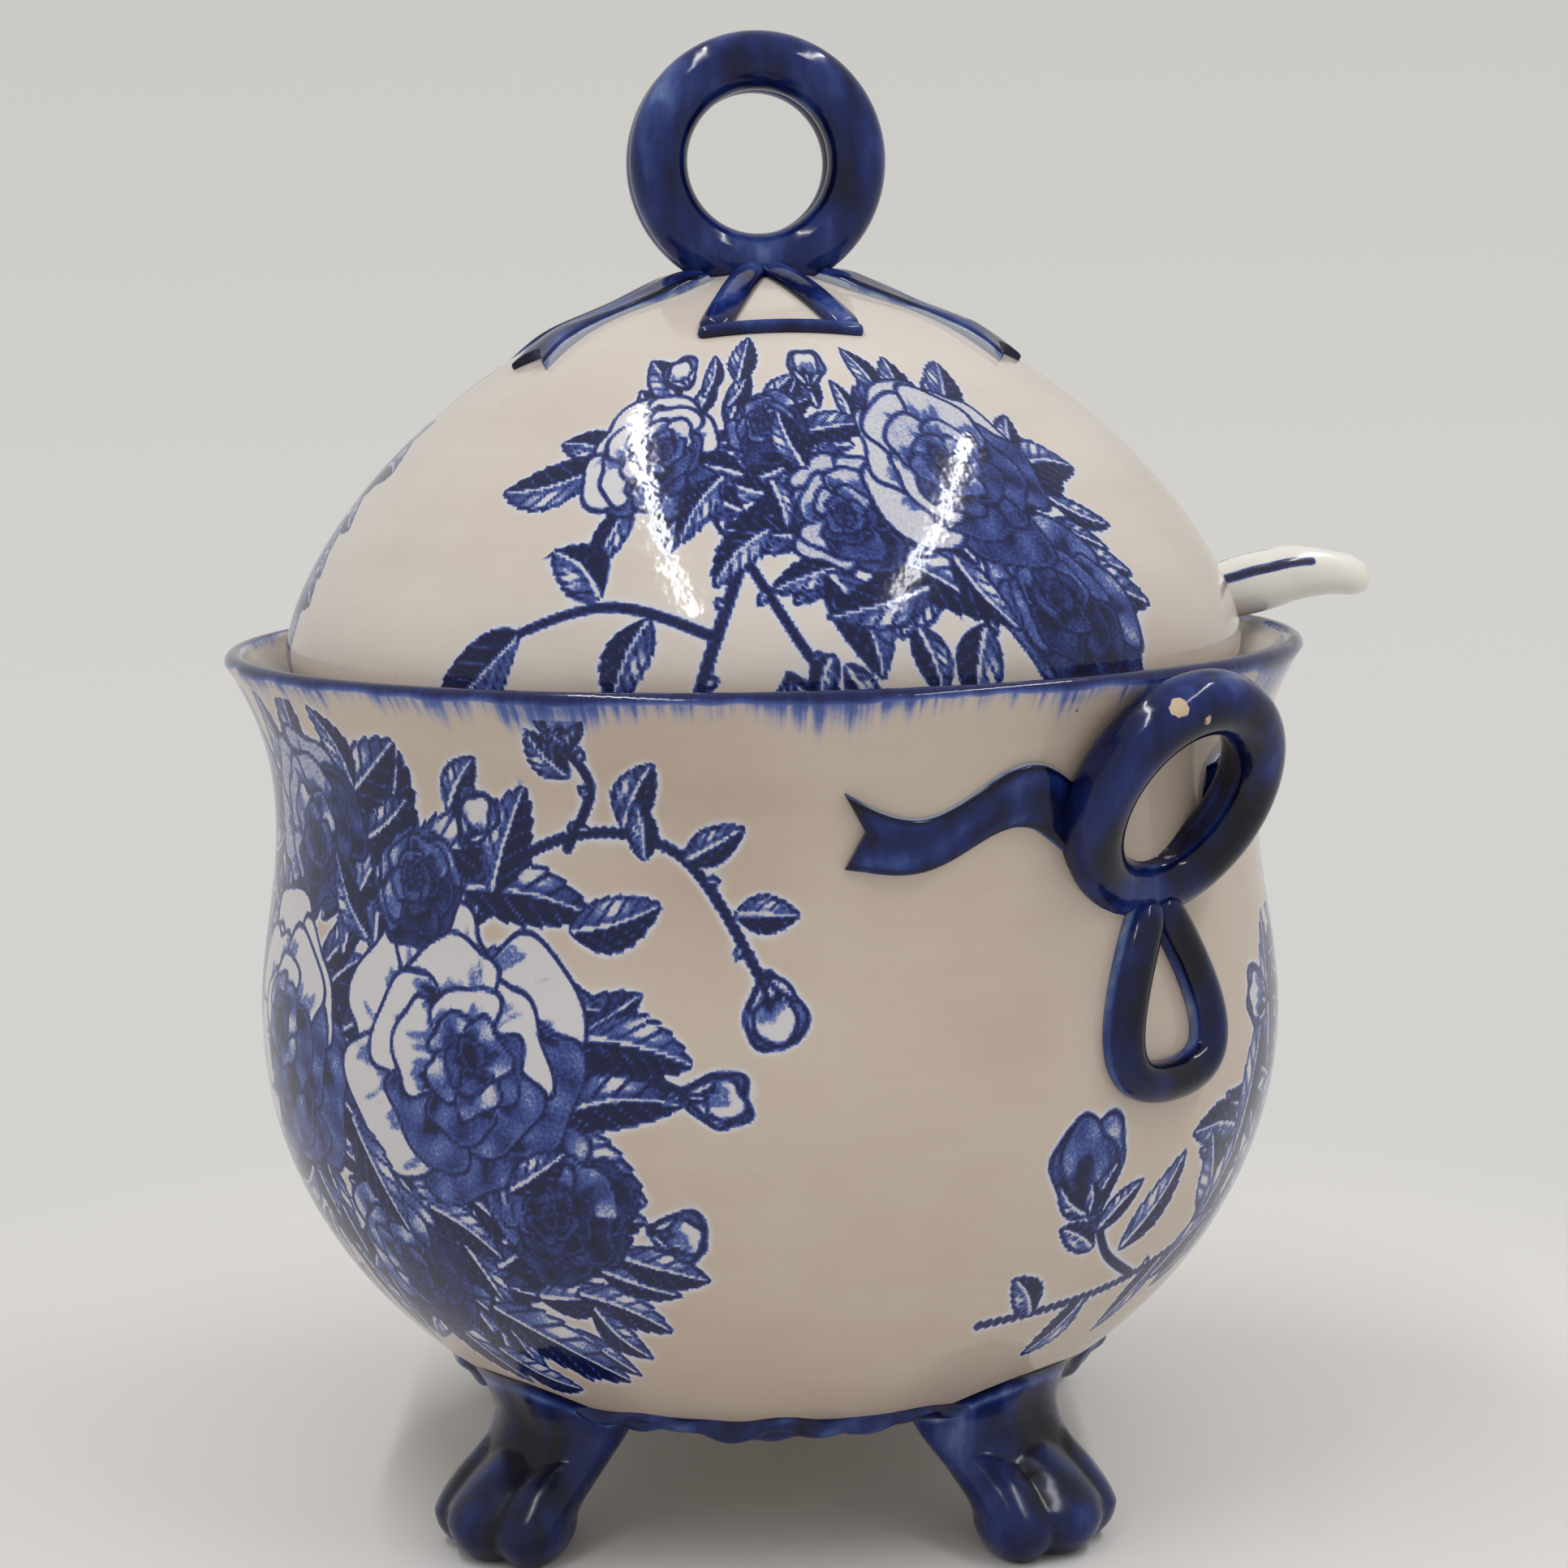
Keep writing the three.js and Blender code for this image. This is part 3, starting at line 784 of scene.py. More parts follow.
    def rose(self, x: float, y: float, radius: float, wash: float = 0.0) -> None:
        """Lays a full rose; wash darkens its petals all over.

        Args:
            x: The middle's place across.
            y: The middle's place up.
            radius: The rose's radius.
            wash: Ink added all over.
        """
        rings = ((6, 0.2, 0.84, 0.95, 0.9, 0.0), (5, 0.1, 0.7, 0.82, 0.95, 0.0), (4, 0.05, 0.52, 0.6, 1.0, 0.05),
                 (4, 0.0, 0.36, 0.42, 1.0, 0.3), (3, 0.0, 0.2, 0.27, 1.0, 0.65))
        lean = self.chance.uniform(0, 6.3)
        off = 0.16 * radius
        for ring, (count, start, length, width, root, tip) in enumerate(rings):
            middle = x + off * ring / 4 * math.cos(lean), y + off * ring / 4 * math.sin(lean)
            for k in self.chance.permutation(count):
                angle = lean + ring * 0.9 + 2 * math.pi * k / count + self.chance.uniform(-0.2, 0.2)
                size = radius * self.chance.uniform(0.88, 1.1)
                shaded = ring < 3 and math.cos(angle - self.shadow) > 0.35
                dark = wash + (0.5 if shaded else 0)
                self.petal(middle[0] + start * size * math.cos(angle), middle[1] + start * size * math.sin(angle),
                           angle, length * size, width * size, min(root + wash, 1), min(tip + dark, 0.8))

    def bud(self, x: float, y: float, angle: float, size: float, tone: float = 0.05) -> None:
        """Lays a bud with its calyx, its front petal in a tone; (x, y) is the foot of the calyx.

        Args:
            x: The foot's place across.
            y: The foot's place up.
            angle: Where it points, in degrees.
            size: Its length.
            tone: Ink of its front petal.
        """
        heading = math.radians(angle)
        for lean, dark in ((0.35, 0.55), (-0.35, 0.3), (0, tone)):
            self.petal(x, y, heading + lean * 0.6, size, size * 0.62, 0.8, dark)
        for lean in (-38, 0, 38):
            self.leaf(x, y, angle + lean, size * (0.62 if lean else 0.4), size * 0.22, 0.75)

    def let_flow(self) -> None:
        """Lets the ink bleed into the glaze round it, as it does in the kiln."""
        reach = int(self.bleed_reach / self.grain)
        weight = peak(np.arange(-reach, reach + 1) * self.grain, 0, self.bleed)
        weight /= weight.sum()
        blur = np.apply_along_axis(np.convolve, 0, self.ink, weight, "same")
        blur = np.apply_along_axis(np.convolve, 1, blur, weight, "same")
        self.flow = np.maximum(blur, self.veil * self.cover)

    def at(self, x: Array, y: Array, sheet: Array) -> Array:
        """Reads ink or flow at places on the sheet; it is bare beyond its edges.

        Args:
            x: Places across.
            y: Places up.
            sheet: The sheet's ink or its flow.

        Returns:
            The value at each place.
        """
        column = (x - self.left) / self.grain
        row = (y - self.low) / self.grain
        inside = (column > 0) & (column < len(self.across) - 2) & (row > 0) & (row < len(self.up) - 2)
        column, row = np.where(inside, column, 0), np.where(inside, row, 0)
        c, r = column.astype(int), row.astype(int)
        fc, fr = column - c, row - r
        below = sheet[r, c] * (1 - fc) + sheet[r, c + 1] * fc
        above = sheet[r + 1, c] * (1 - fc) + sheet[r + 1, c + 1] * fc
        return np.where(inside, below * (1 - fr) + above * fr, 0)


def body_print() -> InkSheet:
    """Draws the rose bouquet of the bowl, with its long trailing spray on the left.

    Returns:
        The sheet with its print.
    """
    sheet = InkSheet(-222, 100, 34, 184, seed=11)
    sheet.stem([(10, 130), (44, 158), (72, 158), (90, 132)], 1.5, 7)
    sheet.stem([(50, 158), (56, 170), (52, 178)], 1.2, 3)
    sheet.stem([(40, 112), (60, 116), (74, 112)], 1.2, 2)
    sheet.stem([(-90, 108), (-128, 76), (-170, 62), (-216, 58)], 1.5, 7)
    sheet.stem([(-172, 62), (-186, 70), (-194, 82)], 1.1)
    sheet.stem([(-20, 70), (4, 54), (24, 44)], 1.3, 3)
    sheet.thicket(-28, 112, 78, 52, 130, 27)
    sheet.thicket(-62, 158, 34, 18, 22, 20)
    sheet.thicket(24, 72, 30, 20, 22, 20)
    sheet.thicket(-124, 80, 26, 17, 24, 21)
    for leaf in (
            (22, 62, -28, 34, 14, 0.5), (-2, 62, -52, 28, 12, 0.6), (-44, 62, -112, 24, 12, 0.5),
            (14, 50, -24, 22, 10, 0.35), (44, 104, -34, 26, 12, 0.6), (54, 122, -12, 22, 11, 0.5),
            (50, 142, 16, 20, 10, 0.55), (32, 148, 66, 24, 11, 0.5), (-6, 166, 112, 18, 9, 0.5),
            (-118, 92, 160, 24, 11, 0.5), (-126, 78, 236, 24, 11, 0.45), (-146, 70, 118, 24, 12, 0.5),
            (-160, 64, 236, 20, 9, 0.6), (-186, 60, 232, 17, 8, 0.5), (-202, 58, 130, 14, 7, 0.55),
            (-182, 70, 52, 24, 9, 0.4), (-152, 64, 62, 32, 12, 0.5), (-142, 84, 70, 32, 12, 0.45),
            (-136, 76, 20, 22, 10, 0.6), (-160, 58, 30, 24, 9, 0.6), (-126, 98, 84, 34, 12, 0.5),
            (62, 162, 62, 15, 8, 0.6), (74, 156, 28, 14, 7, 0.6), (84, 146, -2, 13, 7, 0.5),
            (52, 172, 128, 12, 7, 0.6), (58, 78, -14, 20, 9, 0.5), (50, 66, -50, 17, 8, 0.6),
            (66, 156, 96, 12, 6, 0.6), (22, 164, 50, 15, 7, 0.5)):
        sheet.leaf(*leaf)
    for rose in (
            (-88, 130, 24, 0.1), (-26, 156, 20, 0.2), (2, 70, 17, 0.3), (-58, 80, 20, 0.25), (46, 88, 17, 0.4),
            (-36, 112, 28, 0.0), (24, 116, 29, 0.0), (-62, 160, 13, 0.35), (12, 148, 12, 0.35), (-118, 82, 15, 0.3)):
        sheet.rose(*rose)
    for leaf in (
            (-6, 100, -64, 26, 11, 0.5), (-2, 136, 130, 22, 9, 0.55), (-64, 110, 96, 26, 11, 0.5),
            (36, 90, 34, 17, 8, 0.6), (-66, 146, 20, 20, 9, 0.5), (-30, 84, 200, 22, 10, 0.4),
            (14, 84, -30, 20, 9, 0.4), (-50, 136, 150, 20, 9, 0.5)):
        sheet.leaf(*leaf)
    for bud in (
            (90, 134, -78, 13), (74, 112, -10, 12), (53, 178, 96, 10), (-128, 112, 154, 14), (26, 158, 60, 11),
            (66, 84, -8, 11)):
        sheet.bud(*bud)
    sheet.bud(-195, 80, 100, 21, 0.45)
    sheet.leaf(-192, 76, 40, 15, 6, 0.45)
    sheet.leaf(-191, 72, 150, 13, 6, 0.5)
    sheet.let_flow()
    return sheet


def lid_print() -> InkSheet:
    """Draws the smaller bouquet of the lid.

    Returns:
        The sheet with its print.
    """
    sheet = InkSheet(-84, 84, -50, 50, seed=5)
    sheet.stem([(-22, -46), (-14, -22), (-6, 4), (4, 30)], 1.6, 6)
    sheet.stem([(-17, -32), (-38, -22), (-60, -22)], 1.1)
    sheet.stem([(-12, -16), (-2, -34), (4, -42)], 1.0, 2)
    sheet.thicket(26, 0, 38, 25, 52, 18)
    sheet.thicket(-22, 12, 24, 15, 22, 16)
    for leaf in (
            (-56, -22, 196, 21, 14, 0.5), (-40, -20, 132, 18, 9, 0.5), (-30, -26, 246, 16, 9, 0.6),
            (-44, 12, 178, 26, 11, 0.5), (-30, 26, 128, 20, 9, 0.5), (-14, 30, 78, 16, 8, 0.6),
            (4, -20, -66, 22, 11, 0.5), (12, -16, -24, 26, 12, 0.5), (-12, -6, 160, 20, 9, 0.6),
            (26, 26, 112, 17, 8, 0.5), (44, 26, 62, 18, 9, 0.55), (56, 12, 18, 20, 10, 0.5),
            (58, -8, -8, 20, 10, 0.55), (4, -36, -110, 9, 5, 0.6), (6, -38, -40, 9, 5, 0.6),
            (34, -28, -100, 17, 9, 0.5), (20, -30, -70, 13, 7, 0.6)):
        sheet.leaf(*leaf)
    for rose in (
            (54, -20, 18, 0.42), (-34, 12, 16, 0.05), (10, -6, 13, 0.15), (38, 10, 24, 0.12), (-6, 16, 10, 0.3)):
        sheet.rose(*rose)
    for leaf in (
            (2, 4, 108, 18, 8, 0.5), (24, -22, 200, 22, 10, 0.55), (-16, 4, 240, 18, 8, 0.5),
            (30, -14, -50, 18, 8, 0.4)):
        sheet.leaf(*leaf)
    for bud in (
            (6, 28, 84, 12), (-28, 30, 120, 11), (70, -36, -40, 11), (-4, -40, -72, 9)):
        sheet.bud(*bud)
    sheet.let_flow()
    return sheet


# Finishes


class Recipe:
    """A node material in the making."""

    def __init__(self, name: str) -> None:
        """Starts the material with its shader.

        Args:
            name: The material's name.
        """
        self.material = bpy.data.materials.new(name)
        self.material.use_nodes = True
        self.tree = self.material.node_tree
        self.tree.nodes.clear()
        self.shader = self.node("ShaderNodeBsdfPrincipled")
        self.output = self.node("ShaderNodeOutputMaterial")
        self.tree.links.new(self.shader.outputs[0], self.output.inputs["Surface"])
        self.place = self.node("ShaderNodeTexCoord").outputs["Object"]

    def node(self, kind: str, **settings: object) -> bpy.types.Node:
        """Adds a node and sets its properties.

        Args:
            kind: The node's type.
            **settings: Its properties.

        Returns:
            The node.
        """
        node = self.tree.nodes.new(kind)
        for key, value in settings.items():
            setattr(node, key, value)
        return node

    def feed(self, socket: Socket, value: object) -> None:
        """Links a socket to another, or sets its number or colour.

        Args:
            socket: The socket to feed.
            value: Another socket, a number or a colour.
        """
        if isinstance(value, Socket):
            self.tree.links.new(value, socket)
        else:
            socket.default_value = value

    def maths(self, operation: str, *values: object, clamp: bool = False) -> Socket:
        """Works out one number from others.

        Args:
            operation: What is worked out.
            *values: Numbers or sockets.
            clamp: Whether it stays between 0 and 1.

        Returns:
            The result.
        """
        node = self.node("ShaderNodeMath", operation=operation, use_clamp=clamp)
        for socket, value in zip(node.inputs, values):
            self.feed(socket, value)
        return node.outputs[0]

    def times(self, *values: object) -> Socket:
        """Multiplies two numbers."""
        return self.maths("MULTIPLY", *values)

    def scaled(self, value: object, gain: object, start: object, clamp: bool = False) -> Socket:
        """Multiplies a number by a gain and adds it to a start."""
        return self.maths("MULTIPLY_ADD", value, gain, start, clamp=clamp)

    def eased(self, value: object, low: float, high: float) -> Socket:
        """Eases from 0 at low to 1 at high; low may be the larger.

        Args:
            value: The number to ease.
            low: Where it gives 0.
            high: Where it gives 1.

        Returns:
            The eased number.
        """
        node = self.node("ShaderNodeMapRange", interpolation_type="SMOOTHSTEP")
        self.feed(node.inputs["Value"], value)
        if low < high:
            settings = (low, high, 0.0, 1.0)
        else:
            settings = (high, low, 1.0, 0.0)
        for name, number in zip(("From Min", "From Max", "To Min", "To Max"), settings):
            node.inputs[name].default_value = number
        return node.outputs["Result"]

    def stretched(self, scale: tuple[float, float, float]) -> Socket:
        """The place on the object, stretched along its axes.

        Args:
            scale: The stretch along each axis.

        Returns:
            The stretched place.
        """
        node = self.node("ShaderNodeMapping")
        self.feed(node.inputs["Vector"], self.place)
        node.inputs["Scale"].default_value = scale
        return node.outputs[0]

    def length(self, where: Socket) -> Socket:
        """Measures how far a place is from the origin.

        Args:
            where: The place.

        Returns:
            The distance in metres.
        """
        node = self.node("ShaderNodeVectorMath", operation="LENGTH")
        self.feed(node.inputs[0], where)
        return node.outputs["Value"]

    def round_the_axis(self, radius: float) -> Socket:
        """The place's direction from the upright axis, on a circle; it is the same all the way up a wall.

        Args:
            radius: The circle's radius, in metres.

        Returns:
            The place on the circle.
        """
        split = self.node("ShaderNodeSeparateXYZ")
        self.feed(split.inputs[0], self.place)
        level = self.node("ShaderNodeCombineXYZ")
        self.feed(level.inputs["X"], split.outputs["X"])
        self.feed(level.inputs["Y"], split.outputs["Y"])
        unit = self.node("ShaderNodeVectorMath", operation="NORMALIZE")
        self.feed(unit.inputs[0], level.outputs[0])
        circle = self.node("ShaderNodeVectorMath", operation="SCALE")
        self.feed(circle.inputs[0], unit.outputs[0])
        circle.inputs["Scale"].default_value = radius
        return circle.outputs[0]

    def noise(self, scale: float, detail: float = 2.0, where: object = None) -> Socket:
        """Cloudy noise round 0.5.

        Args:
            scale: How fine it is.
            detail: How many finer layers it has.
            where: The place; on the object by default.

        Returns:
            The noise.
        """
        node = self.node("ShaderNodeTexNoise")
        self.feed(node.inputs["Vector"], where or self.place)
        node.inputs["Scale"].default_value = scale
        node.inputs["Detail"].default_value = detail
        return node.outputs["Fac"]

    def cells(self, scale: float, feature: str, where: object = None) -> Socket:
        """Distance within a net of cells.

        Args:
            scale: How fine the net is.
            feature: What the distance is measured to.
            where: The place; on the object by default.

        Returns:
            The distance.
        """
        node = self.node("ShaderNodeTexVoronoi", feature=feature)
        self.feed(node.inputs["Vector"], where or self.place)
        node.inputs["Scale"].default_value = scale
        return node.outputs["Distance"]

    def mix(self, share: object, first: object, second: object) -> Socket:
        """Mixes two colours.

        Args:
            share: Share of the second.
            first: The first colour.
            second: The second colour.

        Returns:
            The mixed colour.
        """
        node = self.node("ShaderNodeMix", data_type="RGBA")
        self.feed(node.inputs["Factor"], share)
        self.feed(node.inputs[6], first)
        self.feed(node.inputs[7], second)
        return node.outputs[2]

    def ramp(self, value: object, stops: tuple[tuple[float, Colour], ...]) -> Socket:
        """Runs through colours.

        Args:
            value: The number that runs through them.
            stops: Each number with its colour.

        Returns:
            The colour.
        """
        node = self.node("ShaderNodeValToRGB")
        self.feed(node.inputs[0], value)
        elements = node.color_ramp.elements
        elements[0].position, elements[0].color = stops[0]
        elements[1].position, elements[1].color = stops[-1]
        for position, colour in stops[1:-1]:
            elements.new(position).color = colour
        return node.outputs[0]

    def layer(self, name: str) -> Socket:
        """A number stored on the mesh."""
        return self.node("ShaderNodeAttribute", attribute_name=name).outputs["Fac"]

    def bumps(self, *heights: tuple[Socket, float]) -> None:
        """Raises the face by heights, each with its depth in millimetres.

        Args:
            *heights: Each height with its depth.
        """
        normal = None
        for height, depth in heights:
            node = self.node("ShaderNodeBump")
            node.inputs["Distance"].default_value = depth * MM
            self.feed(node.inputs["Height"], height)
            if normal:
                self.feed(node.inputs["Normal"], normal)
            normal = node.outputs[0]
        self.feed(self.shader.inputs["Normal"], normal)

    def glazed(self, colour: object, roughness: object, shine: float, coat: float = 0.0) -> Material:
        """Sets the glaze's colour and gloss and ends the recipe.

        Args:
            colour: The glaze's colour.
            roughness: How rough its face is.
            shine: How strongly it reflects.
            coat: Share of a second, even gloss.

        Returns:
            The finished material.
        """
        self.feed(self.shader.inputs["Base Color"], colour)
        self.feed(self.shader.inputs["Roughness"], roughness)
        self.shader.inputs["Specular IOR Level"].default_value = shine
        self.shader.inputs["Coat Weight"].default_value = coat
        self.shader.inputs["Coat Roughness"].default_value = 0.05
        return self.material


COBALT_WASH: tuple[tuple[float, Colour], ...] = (
    (0.0, (0.30, 0.36, 0.55, 1)), (0.28, (0.085, 0.135, 0.37, 1)), (0.52, (0.030, 0.053, 0.215, 1)),
    (0.76, (0.009, 0.015, 0.095, 1)), (1.0, (0.003, 0.005, 0.034, 1)))


@dataclass(frozen=True)
class PrintedGlaze:
    """Clear glaze over a cream body with its print; a brushed rim where the mesh tells how far off it is."""

    name: str
    brushed_rim: bool
    # cream and warm: darker than the lid's copy of the same glaze, as painted shade of the bowl's wall under the
    # overhead lamps
    cream: Colour = (0.55, 0.465, 0.39, 1)
    warm: Colour = (0.485, 0.39, 0.315, 1)
    crazed: Colour = (0.40, 0.335, 0.265, 1)
    speck: Colour = (0.09, 0.06, 0.04, 1)
    flowed: Colour = (0.60, 0.595, 0.62, 1)
    shine: float = 0.38

    def clay(self, recipe: Recipe) -> Socket:
        """The glazed body: uneven cream, fine crazing and a few iron specks.

        Args:
            recipe: The material in the making.

        Returns:
            The body's colour.
        """
        rings = recipe.noise(150, 3, recipe.stretched((0.06, 0.06, 1)))
        drift = recipe.eased(recipe.scaled(rings, 0.22, recipe.noise(14, 4)), 0.46, 0.8)
        cream = recipe.mix(drift, self.cream, self.warm)
        net = recipe.eased(recipe.cells(150, "DISTANCE_TO_EDGE"), 0.02, 0.004)
        patches = recipe.eased(recipe.noise(22, 2), 0.54, 0.7)
        crazed = recipe.mix(recipe.times(recipe.times(net, patches), 0.16), cream, self.crazed)
        dots = recipe.eased(recipe.cells(72, "F1"), 0.045, 0.025)
        few = recipe.eased(recipe.noise(31, 1), 0.6, 0.64)
        return recipe.mix(recipe.times(dots, few), crazed, self.speck)

    def brushed(self, recipe: Recipe) -> Socket:
        """Ink of the rim's brushed band: a full edge that feathers into soft streaks.

        Args:
            recipe: The material in the making.

        Returns:
            The ink.
        """
        round_rim = recipe.round_the_axis(BOWL.rim_radius * MM)
        fine = recipe.noise(640, 2, round_rim)
        broad = recipe.noise(60, 2, round_rim)
        off = recipe.layer("brim")
        edge = recipe.maths("SUBTRACT", off, recipe.scaled(broad, 4.0, 0.6))
        band = recipe.times(recipe.eased(edge, 1.8, -1.0), recipe.scaled(fine, 0.5, 0.62))
        reach = recipe.scaled(broad, 24.0, recipe.scaled(fine, 5.0, -7.0))
        fade = recipe.eased(recipe.maths("SUBTRACT", off, reach), 4.0, -10.0)
        mottle = recipe.scaled(recipe.noise(170, 3), 0.5, -0.25)
        streaks = recipe.scaled(recipe.eased(fine, 0.2, 0.8), 0.3, recipe.maths("ADD", mottle, 0.22))
        streaks = recipe.times(fade, streaks)
        return recipe.maths("MAXIMUM", band, streaks)

    def material(self) -> Material:
        """Builds the finish.

        Returns:
            The material.
        """
        recipe = Recipe(self.name)
        ink = recipe.layer("ink")
        grain = recipe.maths("SUBTRACT", recipe.noise(1500, 3), 0.5)
        play = recipe.times(ink, recipe.maths("SUBTRACT", 1.25, ink))
        tone = recipe.scaled(recipe.times(grain, play), 1.9, ink)
        if self.brushed_rim:
            tone = recipe.maths("MAXIMUM", tone, self.brushed(recipe))
        halo = recipe.times(recipe.eased(recipe.layer("flow"), 0.03, 0.3), 0.85)
        bare = recipe.mix(halo, self.clay(recipe), self.flowed)
        colour = recipe.mix(recipe.eased(tone, 0.02, 0.34), bare, recipe.ramp(tone, COBALT_WASH))
        waves = recipe.noise(3.2, 3, recipe.stretched((3, 3, 9)))
        recipe.bumps((waves, 0.8), (recipe.noise(480, 1), 0.05))
        return recipe.glazed(colour, recipe.scaled(recipe.noise(60, 2), 0.08, 0.06), self.shine)


@dataclass(frozen=True)
class PooledCobalt:
    """Cobalt glaze that runs thin over ridges and pools in hollows."""

    name: str
    depth: float = 0.0
    rough: float = 0.08
    shine: float = 0.34
    chips: tuple[tuple[float, float, float, float], ...] = ()
    biscuit: Colour = (0.52, 0.40, 0.28, 1)
    wash: tuple[tuple[float, Colour], ...] = (
        (0.0, (0.34, 0.37, 0.43, 1)), (0.13, (0.12, 0.175, 0.35, 1)), (0.32, (0.034, 0.064, 0.225, 1)),
        (0.56, (0.007, 0.018, 0.118, 1)), (0.8, (0.003, 0.006, 0.045, 1)), (1.0, (0.0015, 0.002, 0.010, 1)))

    def material(self) -> Material:
        """Builds the finish.

        Returns:
            The material.
        """
        recipe = Recipe(self.name)
        runs = recipe.noise(150, 5, recipe.stretched((1, 1, 0.35)))
        cloud = recipe.noise(48, 3)
        shade = recipe.maths("ADD", recipe.scaled(runs, 1.1, -0.55 + self.depth), recipe.scaled(cloud, 1.0, -0.5))
        pool = recipe.maths("ADD", recipe.layer("pool"), shade, clamp=True)
        colour = recipe.ramp(pool, self.wash)
        roughness = recipe.scaled(recipe.noise(80, 2), 0.1, self.rough)
        for x, y, z, size in self.chips:
            chip = self.chip(recipe, (x, y, z), size)
            colour = recipe.mix(chip, colour, self.biscuit)
            roughness = recipe.scaled(chip, 0.6, roughness, clamp=True)
        recipe.bumps((recipe.noise(60, 3), 0.5), (recipe.noise(330, 2), 0.025))
        return recipe.glazed(colour, roughness, self.shine)

    def chip(self, recipe: Recipe, spot: tuple[float, float, float], size: float) -> Socket:
        """Share of bare biscuit round a spot where the glaze has chipped off.

        Args:
            recipe: The material in the making.
            spot: The chip's place in millimetres.
            size: Its radius.

        Returns:
            The share.
        """
        centred = recipe.node("ShaderNodeMapping")
        recipe.feed(centred.inputs["Vector"], recipe.place)
        centred.inputs["Location"].default_value = [-value * MM for value in spot]
        ragged = recipe.scaled(recipe.noise(420, 2), 2.2 * MM, recipe.length(centred.outputs[0]))
        return recipe.eased(ragged, (size + 1.2) * MM, (size + 0.9) * MM)


@dataclass(frozen=True)
class WhiteGlaze:
    """White glaze of the ladle, with the blue line that is painted along its handle."""

    name: str
    white: Colour = (0.76, 0.74, 0.69, 1)
    shaded: Colour = (0.68, 0.64, 0.57, 1)
    speck: Colour = (0.1, 0.07, 0.05, 1)
    shine: float = 0.5
    coat: float = 0.3

    def material(self) -> Material:
        """Builds the finish.

        Returns:
            The material.
        """
        recipe = Recipe(self.name)
        body = recipe.mix(recipe.eased(recipe.noise(26, 3), 0.4, 0.7), self.white, self.shaded)
        dots = recipe.eased(recipe.cells(85, "F1"), 0.06, 0.03)
        few = recipe.eased(recipe.noise(40, 1), 0.56, 0.6)
        body = recipe.mix(recipe.times(dots, few), body, self.speck)
        grain = recipe.scaled(recipe.noise(700, 3), 0.5, -0.25)
        line = recipe.maths("ADD", recipe.layer("line"), recipe.times(grain, recipe.layer("line")))
        colour = recipe.mix(recipe.eased(line, 0.15, 0.5), body, recipe.ramp(line, COBALT_WASH))
        recipe.bumps((recipe.noise(30, 3), 0.4), (recipe.noise(300, 2), 0.015))
        return recipe.glazed(colour, recipe.scaled(recipe.noise(70, 2), 0.1, 0.1), self.shine, self.coat)


@dataclass(frozen=True)
class PalePaper:
    """Seamless paper under and behind the tureen; away from the tureen it glows in its own tone, which darkens up the
    sweep as painted shade.
    """

    name: str
    tone: Colour = (0.80, 0.785, 0.77, 1)
    patchy: Colour = (0.78, 0.765, 0.75, 1)
    far: Colour = (0.675, 0.66, 0.645, 1)
    # wall: painted shade, the paper's darker glow up the sweep, where the lamps light it less than the floor
    wall: Colour = (0.60, 0.59, 0.56, 1)

    def material(self) -> Material:
        """Builds the finish.

        Returns:
            The material.
        """
        recipe = Recipe(self.name)
        shade = recipe.mix(recipe.noise(3, 2), self.tone, self.patchy)
        recipe.feed(recipe.shader.inputs["Base Color"], shade)
        recipe.bumps((recipe.noise(500, 2), 0.02))
        recipe.feed(recipe.shader.inputs["Roughness"], 0.8)
        glow = recipe.node("ShaderNodeEmission")
        height = recipe.node("ShaderNodeSeparateXYZ")
        recipe.feed(height.inputs[0], recipe.place)
        # Painted shade: the glow darkens from the floor's tone to the wall's as the paper sweeps up.
        wall_shade_share = recipe.eased(height.outputs["Z"], -0.3, 0.7)
        recipe.feed(glow.inputs["Color"], recipe.mix(wall_shade_share, self.far, self.wall))
        away = recipe.length(recipe.place)
        rays = recipe.node("ShaderNodeLightPath").outputs
        bent = recipe.maths("MAXIMUM", rays["Is Glossy Ray"], rays["Is Transmission Ray"])
        seen = recipe.maths("MAXIMUM", rays["Is Camera Ray"], bent)
        share = recipe.times(seen, recipe.eased(away, 0.12, 0.38))
        blend = recipe.node("ShaderNodeMixShader")
        recipe.feed(blend.inputs[0], share)
        recipe.tree.links.new(recipe.shader.outputs[0], blend.inputs[1])
        recipe.tree.links.new(glow.outputs[0], blend.inputs[2])
        recipe.tree.links.new(blend.outputs[0], recipe.output.inputs["Surface"])
        return recipe.material


# Forms that the moulded trim shares


def bead_ring(radius: float, bead: float, spread: float, stretch: float, t: Array, turn: Array) -> Pair:
    """Ring of two beads side by side round the Y axis.

    Args:
        radius: Radius of the ring's middle line.
        bead: Radius of a bead.
        spread: How far each bead lies from the middle.
        stretch: How much taller than wide the ring is.
        t: Shares along the ring.
        turn: Turns round its section.

    Returns:
        Places, and the pooled glaze: deep in the groove between the beads, thin along the outer edge.
    """
    lift = np.abs(np.sin(turn))
    thick = spread * lift + np.sqrt(bead**2 - (spread * np.cos(turn)) ** 2)
    out = radius + thick * np.cos(turn)
    angle = 2 * np.pi * t
    spots = rows(out * np.cos(angle), thick * np.sin(turn), out * np.sin(angle) * stretch)
    groove = peak(lift, 0, 0.16) if spread > bead / 3 else 0
    # Pale line along the beads' inner crest: glaze thin there, and in part a painted highlight.
    thin_crest_and_highlight = peak(lift, 0.34, 0.07) * (np.cos(turn) < 0)
    pool = 0.6 + 0.3 * groove - 0.1 * np.cos(turn) - 0.35 * thin_crest_and_highlight + 0.08 * np.sin(3 * angle) * np.cos(2 * turn)
    return spots, pool


